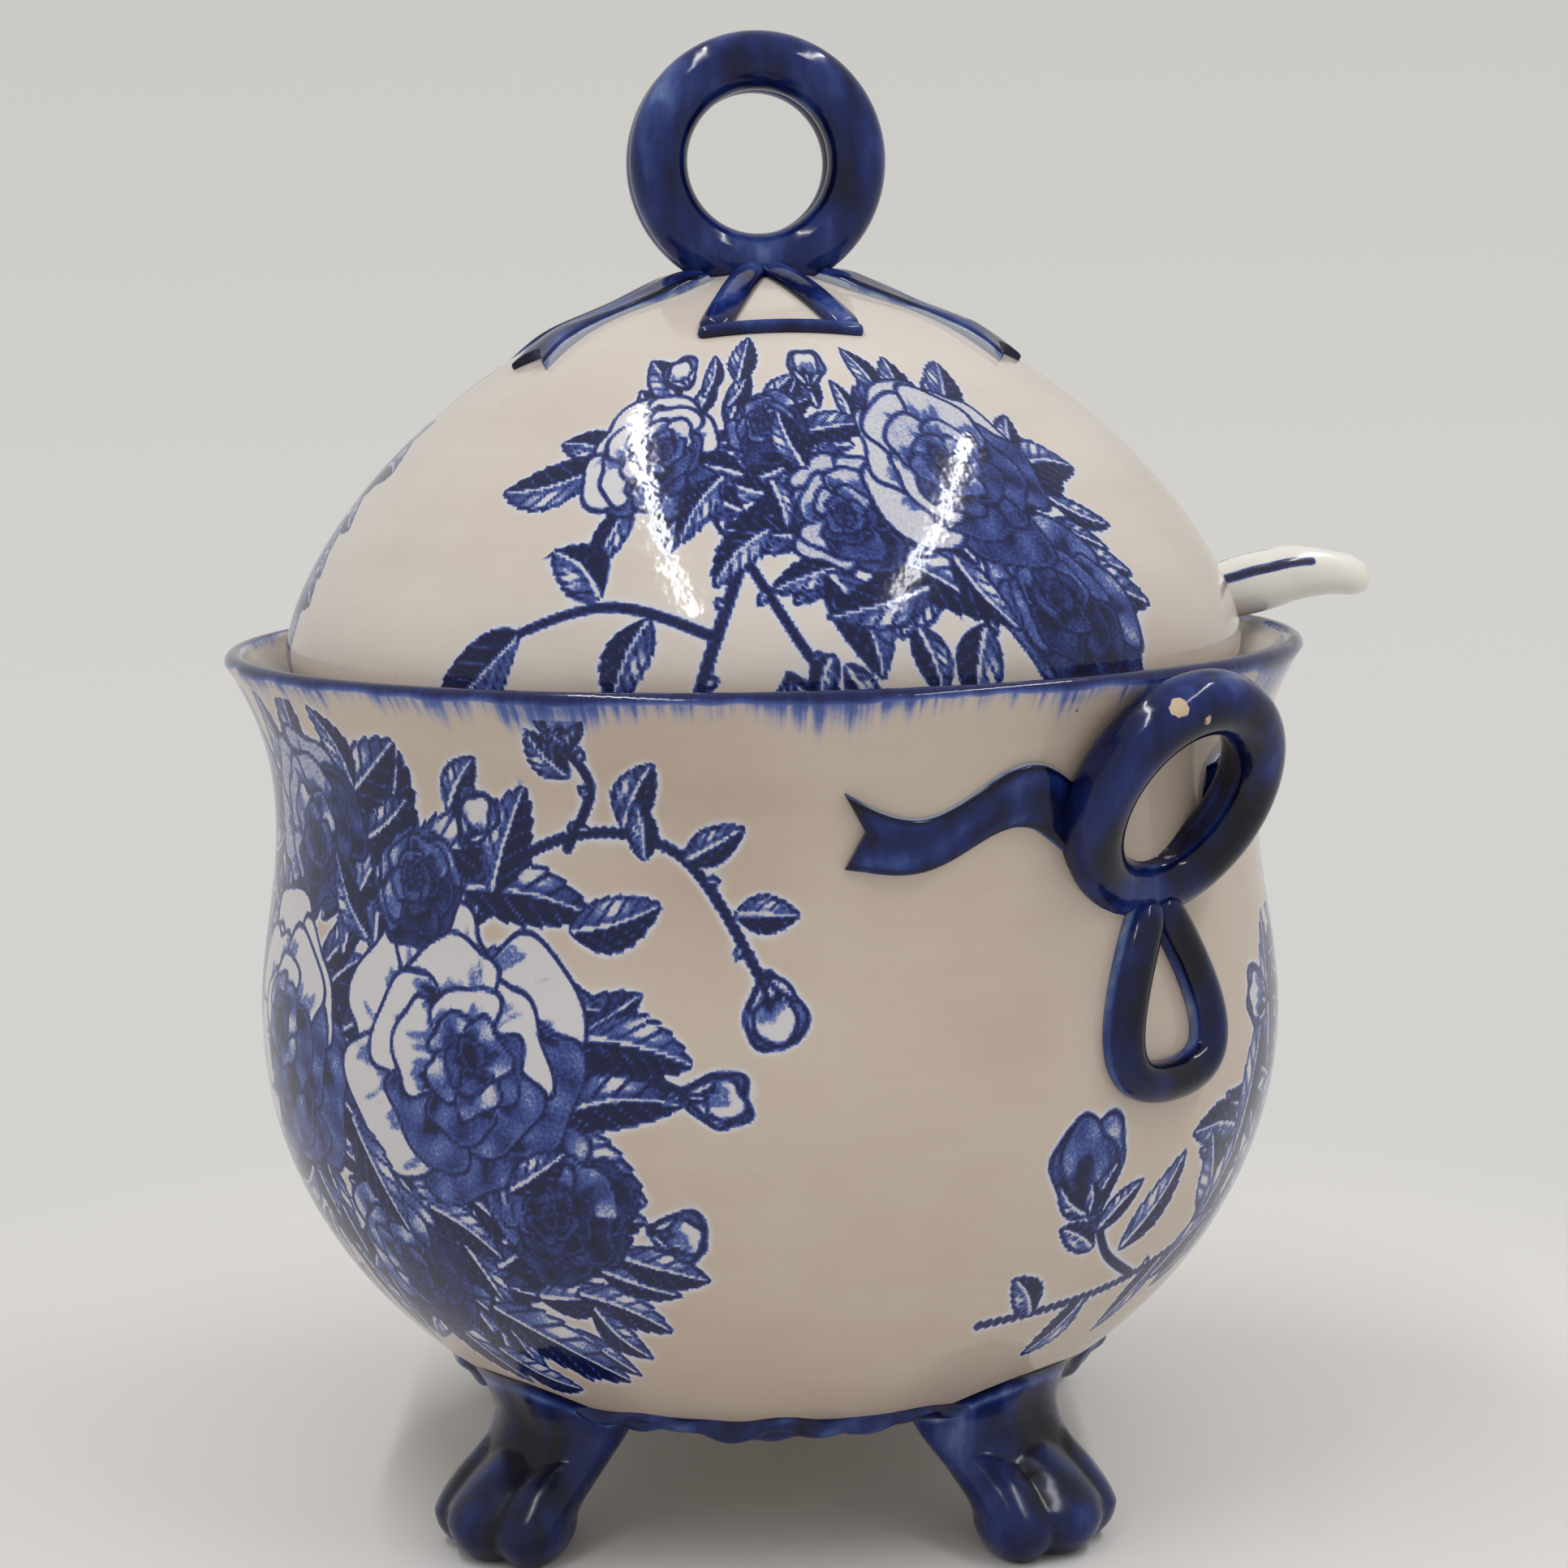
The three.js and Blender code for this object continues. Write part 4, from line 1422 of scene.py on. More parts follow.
def half_round(line: Array, slope: Array, t: Array, turn: Array, width: float, relief: float) -> Array:
    """Half-round strip along a line, closed at its ends.

    Args:
        line: The strip's middle line.
        slope: The line's direction, one unit long.
        t: Shares along it.
        turn: Turns round its section.
        width: The strip's width.
        relief: How far it stands up.

    Returns:
        Flat places, with how far they stand up.
    """
    close = np.sqrt(np.clip(1 - (2 * t - 1) ** 24, 0, 1))
    across = np.cos(turn) * width / 2 * close
    up = relief * (0.2 + 0.8 * np.sin(turn) * close)
    return rows(line[:, 0] - slope[:, 1] * across, line[:, 1] + slope[:, 0] * across, up)


@dataclass(frozen=True)
class RibbonForm:
    """Flat ribbon along +X with a forked end, waving once along its length."""

    start: float
    end: float
    width: float
    waist: float
    notch: float
    wave: float
    relief: float

    def places(self, t: Array, turn: Array) -> Pair:
        """Places of the ribbon.

        Args:
            t: Shares along it.
            turn: Turns round its section.

        Returns:
            Flat places, and the pooled glaze: deep along the edges and thin on the crests.
        """
        close = np.sqrt(np.clip(1 - (np.clip(t - 0.97, 0, None) / 0.03) ** 2, 0, 1)) * np.clip(t / 0.02, 0, 1)
        s = np.clip(t / 0.97, 0, 1)
        across = np.sign(np.cos(turn)) * np.abs(np.cos(turn)) ** 0.55
        rise = np.sign(np.sin(turn)) * np.abs(np.sin(turn)) ** 0.7
        reach = self.start + (self.end - self.start) * s - self.notch * (1 - np.abs(across)) * smooth(s, 0.6, 1)
        sway = self.wave * np.sin(2 * np.pi * (1.42 * s - 0.35 * s**2 - 0.1))
        breadth = self.width + (self.waist - self.width) * np.sin(np.pi * s**1.4)
        ripple = 0.12 * np.sin(9 * s + 5 * across)
        ridge = 1 + 0.3 * np.sin(3 * np.pi * s) + 0.28 * (np.abs(across) ** 4 - 0.3) + ripple
        up = np.where(rise > 0, self.relief * ridge, self.relief) * rise * close
        flat = rows(reach, sway + across * breadth / 2 * (1 - 0.06 * (rise > 0)), up)
        rim = peak(np.abs(across), 0.88, 0.07) + smooth(s, 0.93, 0.97) * 0.5
        pool = 0.52 + 0.35 * rim + ripple - 0.9 * smooth(np.sin(turn), 0.45, 0.15)
        return flat, pool


# The tureen


@dataclass
class PrintedBowl:
    """The bowl with its lid ledge, printed in front and behind."""

    form: BowlForm = BOWL
    cell: float = 2.6
    most: int = 374000
    inner_brim: float = 2.4
    broad_brim: float = 0.5
    broad_angle: float = 22.0
    broad_spread: float = 19.0
    # Uses the default cream and warm, which are darkened as painted shade of the bowl's wall.
    glaze: PrintedGlaze = PrintedGlaze("printed_cream_glaze", brushed_rim=True)
    outside: float = field(default=0.0, init=False)
    length: float = field(default=0.0, init=False)

    def outline(self) -> Array:
        """Closed outline from the middle of the underside, up, over the lip and down to the floor's middle.

        Returns:
            The (radius, height) line, one point in each row.
        """
        form, lip = self.form, self.form.lip
        under = spaced(np.array([(0, form.base_height), (form.base_radius, form.base_height)]), 9)
        wall = spaced(form.outside(), self.cell)
        centre = form.rim_radius - lip
        bend = np.pi * np.linspace(0, 1, 9)[1:]
        edge = rows(centre + lip * np.cos(bend), form.rim_height - lip + lip * np.sin(bend))
        inner = shifted(form.outside(), -form.wall)
        throat = spaced(inner[inner[:, 1] > form.ledge_height + 1.5][::-1], 4)
        ledge = np.array([(np.interp(form.ledge_height, inner[:, 1], inner[:, 0]) - 1, form.ledge_height),
                          (form.ledge_radius + 1, form.ledge_height), (form.ledge_radius, form.ledge_height - 1),
                          (form.ledge_radius, form.ledge_height - form.ledge_thickness)])
        side = spaced(inner[(inner[:, 1] < form.ledge_foot) & (inner[:, 1] > form.floor + 2)][::-1], 6)
        floor = spaced(np.array([(side[-1, 0] - 3, form.floor), (0, form.floor)]), 9)
        self.outside = steps_of(np.vstack([under, wall[1:], edge[:4]])).sum()
        line = np.vstack([under, wall[1:], edge, throat[1:], ledge, side, floor])
        self.length = steps_of(line).sum()
        return line

    def sheet_places(self, spots: Array) -> list[Pair]:
        """Places on the print's sheet, for the front bouquet and for the one behind.

        Args:
            spots: Places in millimetres, one row each.

        Returns:
            For each bouquet, the places across and up.
        """
        angle = np.degrees(np.arctan2(spots[:, 1], spots[:, 0]))
        scale = math.radians(self.form.belly_radius)
        return [(scale * ((angle - middle + 200) % 360 - 200), spots[:, 2]) for middle in (-90, 90)]

    def read(self, spots: Array, sheet: InkSheet, layer: Array) -> Array:
        """Reads the print on the outer face; the inside stays bare."""
        outer = radii(spots) > self.form.radius_at(spots[:, 2]) - self.form.lip
        return np.where(outer, np.maximum(*(sheet.at(x, y, layer) for x, y in self.sheet_places(spots))), 0)

    def chart(self, spots: Array, along: Array, middle: Array, reach: Array) -> Array:
        """Flat map: a wide strip for the outside, a narrow one for the inside, two spots for the floors.

        Args:
            spots: The corners' places.
            along: Their reach along the outline.
            middle: The middles of their faces.
            reach: The middles' reach.

        Returns:
            The corners' places on the map.
        """
        facing = np.where(middle[:, 1] > 0, np.pi / 2, -np.pi / 2)
        across = ((np.arctan2(spots[:, 1], spots[:, 0]) - facing + np.pi) % (2 * np.pi) - np.pi) / np.pi + 0.5
        across = np.clip(across, 0, 1)
        base = self.form.base_radius
        strip = rows(across, 0.85 * (along - base) / (self.outside - base))
        inner = rows(across, 0.86 + 0.08 * (along - self.outside) / (self.length - self.outside))
        disc = 0.5 + 0.5 * spots[:, :2] / self.form.rim_radius
        under = rows(disc[:, 0] * 0.05, 0.945 + disc[:, 1] * 0.05)
        flat = np.where(((reach > base) & (reach < self.outside))[:, None], strip, inner)
        flat = np.where((reach < base)[:, None], under, flat)
        flat = np.where((reach > self.length - base)[:, None], under + np.array([0.06, 0]), flat)
        return np.where((np.abs(middle[:, 1]) < 1e-3)[:, None], np.array([0.5, 0.97]) + disc * 0.02, flat)

    def rounded(self, bm: BMesh) -> None:
        """Brings the divided outer wall onto its exact outline.

        Args:
            bm: The divided bowl.
        """
        along = bm.verts.layers.float["along"]
        reach = np.array([vert[along] for vert in bm.verts])
        spots = spots_of(bm)
        out = radii(spots)
        wall = (reach > self.form.base_radius + 0.1) & (reach < self.outside) \
            & (spots[:, 2] < self.form.rim_height - self.form.lip)
        scale = np.where(wall, self.form.radius_at(spots[:, 2]) / np.maximum(out, 1e-6), 1)
        placed(bm, widened(spots, scale))

    def half(self, whole: BMesh, side: int) -> BMesh:
        """Closed half of the bowl; side -1 is the front.

        Args:
            whole: The whole bowl.
            side: -1 for the front, 1 for the back.

        Returns:
            The half.
        """
        half = whole.copy()
        bmesh.ops.bisect_plane(half, geom=[*half.verts, *half.edges, *half.faces], dist=1e-3, plane_co=(0, 0, 0),
                               plane_no=(0, side, 0), clear_inner=True)
        bmesh.ops.holes_fill(half, edges=[edge for edge in half.edges if edge.is_boundary])
        settle(half)
        return half

    def build(self) -> list[Object]:
        """Builds and dresses the bowl in two halves, so that both bouquets are drawn finely.

        Returns:
            The front half and the back half.
        """
        sheet = body_print()
        whole = spun(self.outline(), 2 * round(math.pi * self.form.belly_radius / self.cell))
        refined(whole, lambda spots: self.read(spots, sheet, sheet.ink), print_passes(), self.most)
        self.rounded(whole)
        whole.normal_update()
        normal = whole.verts.layers.float_vector.new("smooth_normal")
        for vert in whole.verts:
            vert[normal] = vert.normal
        finish = self.glaze.material()
        pieces = []
        for name, side in (("front", -1), ("back", 1)):
            piece = finished(self.half(whole, side), "printed_bowl_" + name, Body.TUREEN, ("bowl",))
            mesh = piece.data
            spots, along = mesh_spots(mesh), layer_of(mesh, "along")
            keep_layer(mesh, "ink", self.read(spots, sheet, sheet.ink))
            keep_layer(mesh, "flow", self.read(spots, sheet, sheet.flow))
            beside = (np.degrees(np.arctan2(spots[:, 1], spots[:, 0])) - self.broad_angle + 90) % 180 - 90
            share = np.where(along > self.outside, self.inner_brim,
                             1 - self.broad_brim * peak(beside, 0, self.broad_spread))
            keep_layer(mesh, "brim", np.abs(along - self.outside) * share)
            lay_out(mesh, self.chart)
            join_smoothly(mesh)
            mesh.materials.append(finish)
            pieces.append(piece)
        return pieces


@dataclass
class Trim:
    """What the moulded trim has in common: its glaze and how its pieces are dressed."""

    glaze: PooledCobalt

    def dress(self, piece: Object, rounds: int = 0, gain: float = 0.0) -> Object:
        """Gives a piece the pooled glaze.

        Args:
            piece: The piece; its layer "pool" holds what its maker set.
            rounds: How widely hollows are looked for; none at 0.
            gain: How strongly hollows count.

        Returns:
            The piece.
        """
        mesh = piece.data
        if rounds:
            keep_layer(mesh, "pool", layer_of(mesh, "pool") + hollows(mesh, rounds, gain))
        mesh.materials.append(self.finish)
        return piece

    def __post_init__(self) -> None:
        """Makes the finish once for all of the pieces."""
        self.finish = self.glaze.material()


@dataclass
class Handles(Trim):
    """Ring handles with their bow loops and ribbon tails."""

    radius: float = 20.2
    bead: float = 5.7
    spread: float = 1.0
    stretch: float = 1.06
    standoff: float = 6.24
    height: float = 163.4
    lean: float = math.radians(26)
    twist: float = math.radians(6)
    bow_width: float = 34.0
    bow_length: float = 37.0
    bow_band: float = 8.5
    bow_relief: float = 5.8
    tail_drop: float = 1.5
    ribbon: RibbonForm = RibbonForm(start=20.2, end=69.0, width=15.5, waist=11.0, notch=4.0, wave=4.2, relief=2.0)

    def ring(self, t: Array, turn: Array) -> Pair:
        """Places of the ring on the +X side.

        Args:
            t: Shares along it.
            turn: Turns round its section.

        Returns:
            The places, and the pooled glaze.
        """
        spots, pool = bead_ring(self.radius, self.bead, self.spread, self.stretch, t, turn)
        spots = turned(spots, -math.pi / 2 - self.twist)
        cos, sin = math.cos(self.lean), math.sin(self.lean)
        reach = float(BOWL.radius_at(np.array(self.height))) + self.standoff
        leaning = rows(spots[:, 0] * cos + spots[:, 2] * sin + reach, spots[:, 1],
                       spots[:, 2] * cos - spots[:, 0] * sin + self.height)
        return BOWL.tuck(leaning), pool

    def bow(self, t: Array, turn: Array) -> Pair:
        """Places of the drop-shaped loop under the ring on the +X side.

        Args:
            t: Shares along it.
            turn: Turns round its section.

        Returns:
            The places, and the pooled glaze.
        """
        top = self.bow_band / 2
        low = top - self.bow_length + self.bow_band / 2
        spread = (self.bow_width - self.bow_band) / 2
        side = np.where(t < 0.5, 1, -1)
        s = (1 - np.abs(2 * t - 1))[:, None]
        corners = ((1, top + self.bow_band / 2), (spread * 0.8, top - self.bow_length * 0.3),
                   (spread * 1.75, low), (0, low))
        a, b, c, d = (rows(side * x, np.full_like(t, y)) for x, y in corners)
        line = (1 - s) ** 3 * a + 3 * s * (1 - s) ** 2 * b + 3 * s**2 * (1 - s) * c + s**3 * d
        slope = (1 - s) ** 2 * (b - a) + 2 * s * (1 - s) * (c - b) + s**2 * (d - c)
        slope = slope / np.linalg.norm(slope, axis=1)[:, None] * side[:, None]
        flat = half_round(line, slope, t, turn, self.bow_band, self.bow_relief)
        drop = (self.radius + self.bead) * self.stretch * math.cos(self.lean)
        fringe = smooth(np.sin(turn), 0.42, 0.12)
        pool = 0.62 + 0.1 * np.sin(5 * np.pi * t) - 0.6 * fringe
        return BOWL.tuck(BOWL.wrap(flat, self.height - drop - self.bow_band / 2)), pool

    def tail(self, t: Array, turn: Array, side: int) -> Pair:
        """Places of a ribbon tail beside the ring: side 1 runs towards +Y, side -1 towards -Y.

        Args:
            t: Shares along it.
            turn: Turns round its section.
            side: 1 or -1.

        Returns:
            The places, and the pooled glaze.
        """
        flat, pool = self.ribbon.places(t, turn)
        flat[:, 0] *= side
        return BOWL.tuck(BOWL.wrap(flat, self.height - self.tail_drop)), pool

    def build(self) -> list[Object]:
        """Builds and dresses both handles.

        Returns:
            The pieces.
        """
        pieces = []
        for name, angle, front in (("right", 0.0, -1), ("left", math.pi, 1)):
            parts = [("ring", self.ring, 96, 40), ("bow", self.bow, 96, 32),
                     ("ribbon_%s_front" % name, lambda t, turn, f=front: self.tail(t, turn, f), 72, 28),
                     ("ribbon_%s_back" % name, lambda t, turn, f=front: self.tail(t, turn, -f), 72, 28)]
            for part, place, steps, around in parts:
                bm = rolled(steps, around, place)
                placed(bm, turned(spots_of(bm), angle))
                node = "handle_" + (part if "ribbon" in part else part + "_" + name)
                pieces.append(self.dress(finished(bm, "glazed_" + node, Body.TUREEN, (node,))))
        return pieces


@dataclass
class Feet(Trim):
    """Four paw feet that flare into the bowl, and the ribbon garlands between them."""

    radius: float = 77.5
    toe_radius: float = 6.2
    toe_length: float = 9.0
    toe_rise: float = 16.0
    toe_blend: float = 8.0
    paw_length: float = 27.0
    paw_width: float = 27.0
    garland_radius: float = 72.8
    garland_thickness: float = 7.4
    garland_knot: float = 1.3
    garland_span: float = 16 / 77.5
    sections: tuple[tuple[float, float, float, float], ...] = (
        (0.0, 75.07, 15.0, 15.0), (1.55, 76.3, 20.5, 20.5), (4.96, 77.5, 25.1, 25.4), (9.92, 77.5, 27.0, 27.0),
        (14.88, 72.6, 26.8, 32.0), (20.0, 68.2, 23.2, 38.0), (26.04, 65.4, 21.0, 45.6), (31.93, 66.2, 21.2, 52.8),
        (38.5, 70.5, 19.95, 56.0))

    def leg(self, t: Array, turn: Array) -> Pair:
        """Places of the foot on the +X side: a leg with three toes grown into it.

        Args:
            t: Shares up it.
            turn: Turns round its section.

        Returns:
            The places, and the pooled glaze.
        """
        inner = np.clip((t - 0.05) / 0.9, 0, 1)
        cap = np.minimum(np.clip(t / 0.05, 0, 1), np.clip((1 - t) / 0.05, 0, 1))
        table = through(np.array(self.sections), 200)
        rise = self.sections[-1][0] * inner**1.15
        centre, depth, width = (np.interp(rise, table[:, 0], table[:, k]) for k in (1, 2, 3))
        a, b = depth / 2, width / 2
        dx, dy = np.cos(turn), np.sin(turn)
        leg = 1 / np.sqrt((dx / a) ** 2 + (dy / b) ** 2)
        toes = np.zeros_like(leg)
        for side in (-1, 0, 1):
            above = rise - self.toe_rise * 0.5
            x = self.radius + self.paw_length * (0.2 - 0.07 * abs(side)) - centre - 0.7 * np.clip(above, 0, None)
            y = side * self.paw_width * 0.3
            level = 1 - (above / (self.toe_rise * np.where(above > 0, 0.85, 0.58))) ** 2
            size = np.sqrt(np.clip(level, 1e-6, 1))
            lean = side * 0.35
            ax = (dx * math.cos(lean) + dy * math.sin(lean)) / (self.toe_length * size)
            ay = (dy * math.cos(lean) - dx * math.sin(lean)) / (self.toe_radius * size)
            cx = (x * math.cos(lean) + y * math.sin(lean)) / (self.toe_length * size)
            cy = (y * math.cos(lean) - x * math.sin(lean)) / (self.toe_radius * size)
            aa, bb, cc = ax**2 + ay**2, ax * cx + ay * cy, cx**2 + cy**2 - 1
            under = bb**2 - aa * cc
            far = np.where((under > 0) & (bb > 0) & (level > 0.02), (bb + np.sqrt(np.clip(under, 0, None))) / aa, 0)
            toes = np.maximum(toes, far)
        ledge = smooth(rise, 15, 21) * (1 - smooth(rise, 33, 37))
        leg = leg * (1 - 0.02 * ledge * np.cos(5 * turn + 0.2 * rise))
        blend = np.clip(self.toe_blend - np.abs(leg - toes), 0, None) ** 2 / (4 * self.toe_blend)
        full = (np.maximum(leg, toes) + blend) * np.sqrt(1 - (1 - cap) ** 2)
        reach = centre + full * dx
        swing = full * dy / self.radius
        spots = rows(reach * np.cos(swing), reach * np.sin(swing), rise)
        gap = self.bowl_face(spots) - rise
        line = 0.5 * peak(gap, 0, 0.6) - 0.45 * peak(gap, 1.9, 0.7)
        grooves = 0.25 * peak(np.abs(turn), 0.42, 0.07) * smooth(rise, 18, 12)
        front = 0.14 * peak(rise, 17, 4) * smooth(dx, 0, 0.7)
        pool = 0.66 + line + grooves + 0.1 * smooth(rise, 17, 12) + front
        return self.under_bowl(spots), pool

    def bowl_face(self, spots: Array) -> Array:
        """Height of the bowl's underside over or under each place.

        Args:
            spots: Places in millimetres, one row each.

        Returns:
            The heights.
        """
        out = radii(spots)
        wall = BOWL.outside()[:300]
        return np.where(out < BOWL.base_radius, BOWL.base_height, np.interp(out, wall[:, 0], wall[:, 1]))

    def under_bowl(self, spots: Array) -> Array:
        """Lowers what reaches into the bowl to just within its face."""
        height = np.minimum(spots[:, 2], self.bowl_face(spots) + SINK)
        return rows(spots[:, 0], spots[:, 1], height)

    def garland(self, t: Array, turn: Array) -> Pair:
        """Places of the twisted ribbon between the feet on +X and +Y.

        Args:
            t: Shares along it.
            turn: Turns round its section.

        Returns:
            The places, and the pooled glaze.
        """
        span = self.garland_span - 0.05
        swing = span + (math.pi / 2 - 2 * span) * t
        knot = self.garland_knot * peak(t, 0.5, 0.07)
        swell = 0.84 + 0.16 * np.sin(np.pi * t) + 0.05 * np.cos(10 * np.pi * t)
        lobes = np.cos(2 * turn + 7 * np.pi * t) * 0.2 + np.cos(3 * turn - 12 * np.pi * t) * 0.12 - 0.2
        close = np.sqrt(np.clip(1 - (2 * t - 1) ** 20, 0, 1))
        thick = (self.garland_thickness / 2 * swell + knot) * (1 + lobes) * close
        radius = self.garland_radius + thick * 0.8 * np.cos(turn)
        height = BOWL.base_height + self.garland_thickness * 0.3 + thick * np.sin(turn)
        spots = rows(radius * np.cos(swing), radius * np.sin(swing), height)
        ridge = smooth(lobes, 0.0, 0.11)
        return self.under_bowl(spots), 0.68 - 0.26 * ridge

    def build(self) -> list[Object]:
        """Builds and dresses the four feet and the four garlands.

        Returns:
            The pieces.
        """
        pieces = []
        names = ("right", "back", "left", "front")
        for k, name in enumerate(names):
            for node, place, steps, around, rounds in (
                    ("foot_" + name, self.leg, 84, 112, 26),
                    ("garland_%s_%s" % (name, names[(k + 1) % 4]), self.garland, 180, 40, 6)):
                bm = rolled(steps, around, place)
                placed(bm, turned(spots_of(bm), k * math.pi / 2))
                piece = finished(bm, "glazed_" + node, Body.TUREEN, (node,))
                pieces.append(self.dress(piece, rounds, 0.5))
        return pieces


# The lid


@dataclass
class PrintedLid:
    """The domed lid with its flange, its ladle notch and three bouquets."""

    form: LidForm = LID
    cell: float = 2.6
    print_turns: tuple[float, ...] = (-39.0, 81.0, 201.0)
    print_radius: float = 84.0
    most: int = 188000
    # The same glaze as the bowl's, in a lighter copy; the bowl's darker cream and warm are painted shade.
    glaze: PrintedGlaze = PrintedGlaze("printed_lid_glaze", brushed_rim=False, cream=(0.63, 0.575, 0.525, 1),
                                       warm=(0.565, 0.50, 0.44, 1))
    outside: float = field(default=0.0, init=False)
    length: float = field(default=0.0, init=False)

    def outline(self) -> Array:
        """Closed outline from the crown, down outside, round the flange and up inside.

        Returns:
            The (radius, height) line, one point in each row.
        """
        form = self.form
        outer = form.outside()
        wall = spaced(outer[::-1], self.cell)
        low, foot = form.seat, form.flange_foot
        thick = form.flange_radius - form.flange_wall
        flange = np.array([(form.flange_radius + 0.8, low), (form.flange_radius, low - 0.8),
                           (form.flange_radius, foot + 0.8), (form.flange_radius - 0.8, foot), (thick + 0.8, foot),
                           (thick, foot + 0.8), (thick, low + form.wall / 2)])
        inner = shifted(outer, -form.wall)
        inner = spaced(inner[inner[:, 1] > low + form.wall / 2 + 4], 6)
        line = np.vstack([wall, flange, inner])
        line[-1, 0] = 0
        reach = np.cumsum(steps_of(line))
        self.outside, self.length = reach[len(wall) - 2], reach[-1]
        return line

    def notched(self, bm: BMesh) -> BMesh:
        """Cuts the arched notch for the ladle's handle out of the edge.

        Args:
            bm: The lid; it is used up.

        Returns:
            The lid with its notch.
        """
        form = self.form
        half = form.notch_width / 2
        arch = np.pi * np.linspace(0, 1, 15)
        outline = [(-half, form.flange_foot - 1), (half, form.flange_foot - 1)] + [
            (half * math.cos(a), form.notch_top - half + half * math.sin(a)) for a in arch]
        cutter = bmesh.new()
        face = cutter.faces.new([cutter.verts.new((50, y, z)) for y, z in outline])
        wall = bmesh.ops.extrude_face_region(cutter, geom=[face])
        moved = [item for item in wall["geom"] if isinstance(item, bmesh.types.BMVert)]
        bmesh.ops.translate(cutter, verts=moved, vec=(70, 0, 0))
        bmesh.ops.rotate(cutter, verts=cutter.verts, matrix=Matrix.Rotation(form.turn, 3, "Z"))
        bmesh.ops.recalc_face_normals(cutter, faces=cutter.faces)
        shell, tool = added("notch_shell", meshed(bm, "shell")), added("notch_cutter", meshed(cutter, "cutter"))
        cut = shell.modifiers.new("notch", "BOOLEAN")
        cut.operation, cut.solver, cut.object = "DIFFERENCE", "EXACT", tool
        bpy.context.view_layer.update()
        result = bpy.data.meshes.new_from_object(shell.evaluated_get(bpy.context.evaluated_depsgraph_get()))
        for used in (shell, tool):
            bpy.data.objects.remove(used)
        bm = bmesh.new()
        bm.from_mesh(result)
        return bm

    def read(self, spots: Array, sheet: InkSheet, layer: Array) -> Array:
        """Reads the print on the dome, each bouquet laid flat over its own patch.

        Args:
            spots: Places in millimetres, one row each.
            sheet: The print.
            layer: Its ink or its flow.

        Returns:
            The value at each place.
        """
        height = float(self.form.height_at(np.array(self.print_radius)))
        slope = float(self.form.height_at(np.array(self.print_radius + 1.0))) - height
        up = np.array([-1, slope * -1]) / math.hypot(1, slope)
        total = np.zeros(len(spots))
        for angle in self.print_turns:
            own = turned(spots, -math.radians(angle))
            rise = (own[:, 0] - self.print_radius) * up[0] + (own[:, 2] - height) * up[1]
            side = self.form.radius * np.arctan2(own[:, 1], np.abs(own[:, 0]) + 22) * 1.14
            total = np.where(own[:, 0] > 0, np.maximum(total, sheet.at(side, rise, layer)), total)
        dome = (self.form.fullness(spots) > 0.96) & (spots[:, 2] > self.form.widest - 9)
        return np.where(dome, total, 0)

    def chart(self, spots: Array, along: Array, middle: Array, reach: Array) -> Array:
        """Flat map: the outside as one large disc, the inside as a small one.

        Args:
            spots: The corners' places.
            along: Their reach along the outline.
            middle: The middles of their faces; not used.
            reach: The middles' reach.

        Returns:
            The corners' places on the map.
        """
        angle = np.arctan2(spots[:, 1], spots[:, 0])
        outer = reach < self.outside
        inside = (self.length - along) / (self.length - self.outside)
        out = np.where(outer, along / self.outside * 0.4, inside * 0.095)
        centre = np.where(outer[:, None], (0.405, 0.595), (0.9, 0.1))
        return centre + out[:, None] * rows(np.cos(angle), np.sin(angle))

    def build(self) -> list[Object]:
        """Builds and dresses the lid.

        Returns:
            The lid.
        """
        sheet = lid_print()
        bm = self.notched(spun(self.outline(), round(2 * math.pi * self.form.radius / self.cell)))
        refined(bm, lambda spots: self.read(spots, sheet, sheet.ink), print_passes(), self.most)
        lid = finished(bm, "printed_lid", Body.LID, ("lid_dome",))
        mesh = lid.data
        spots, along = mesh_spots(mesh), layer_of(mesh, "along")
        dome = (along < self.outside) & (spots[:, 2] > self.form.widest + 0.5) & (self.form.fullness(spots) > 0.97)
        spots = np.where(dome[:, None], self.form.on_face(spots), spots)
        set_spots(mesh, spots)
        keep_layer(mesh, "ink", self.read(spots, sheet, sheet.ink))
        keep_layer(mesh, "flow", self.read(spots, sheet, sheet.flow))
        lay_out(mesh, self.chart)
        mesh.materials.append(self.glaze.material())
        return [lid]


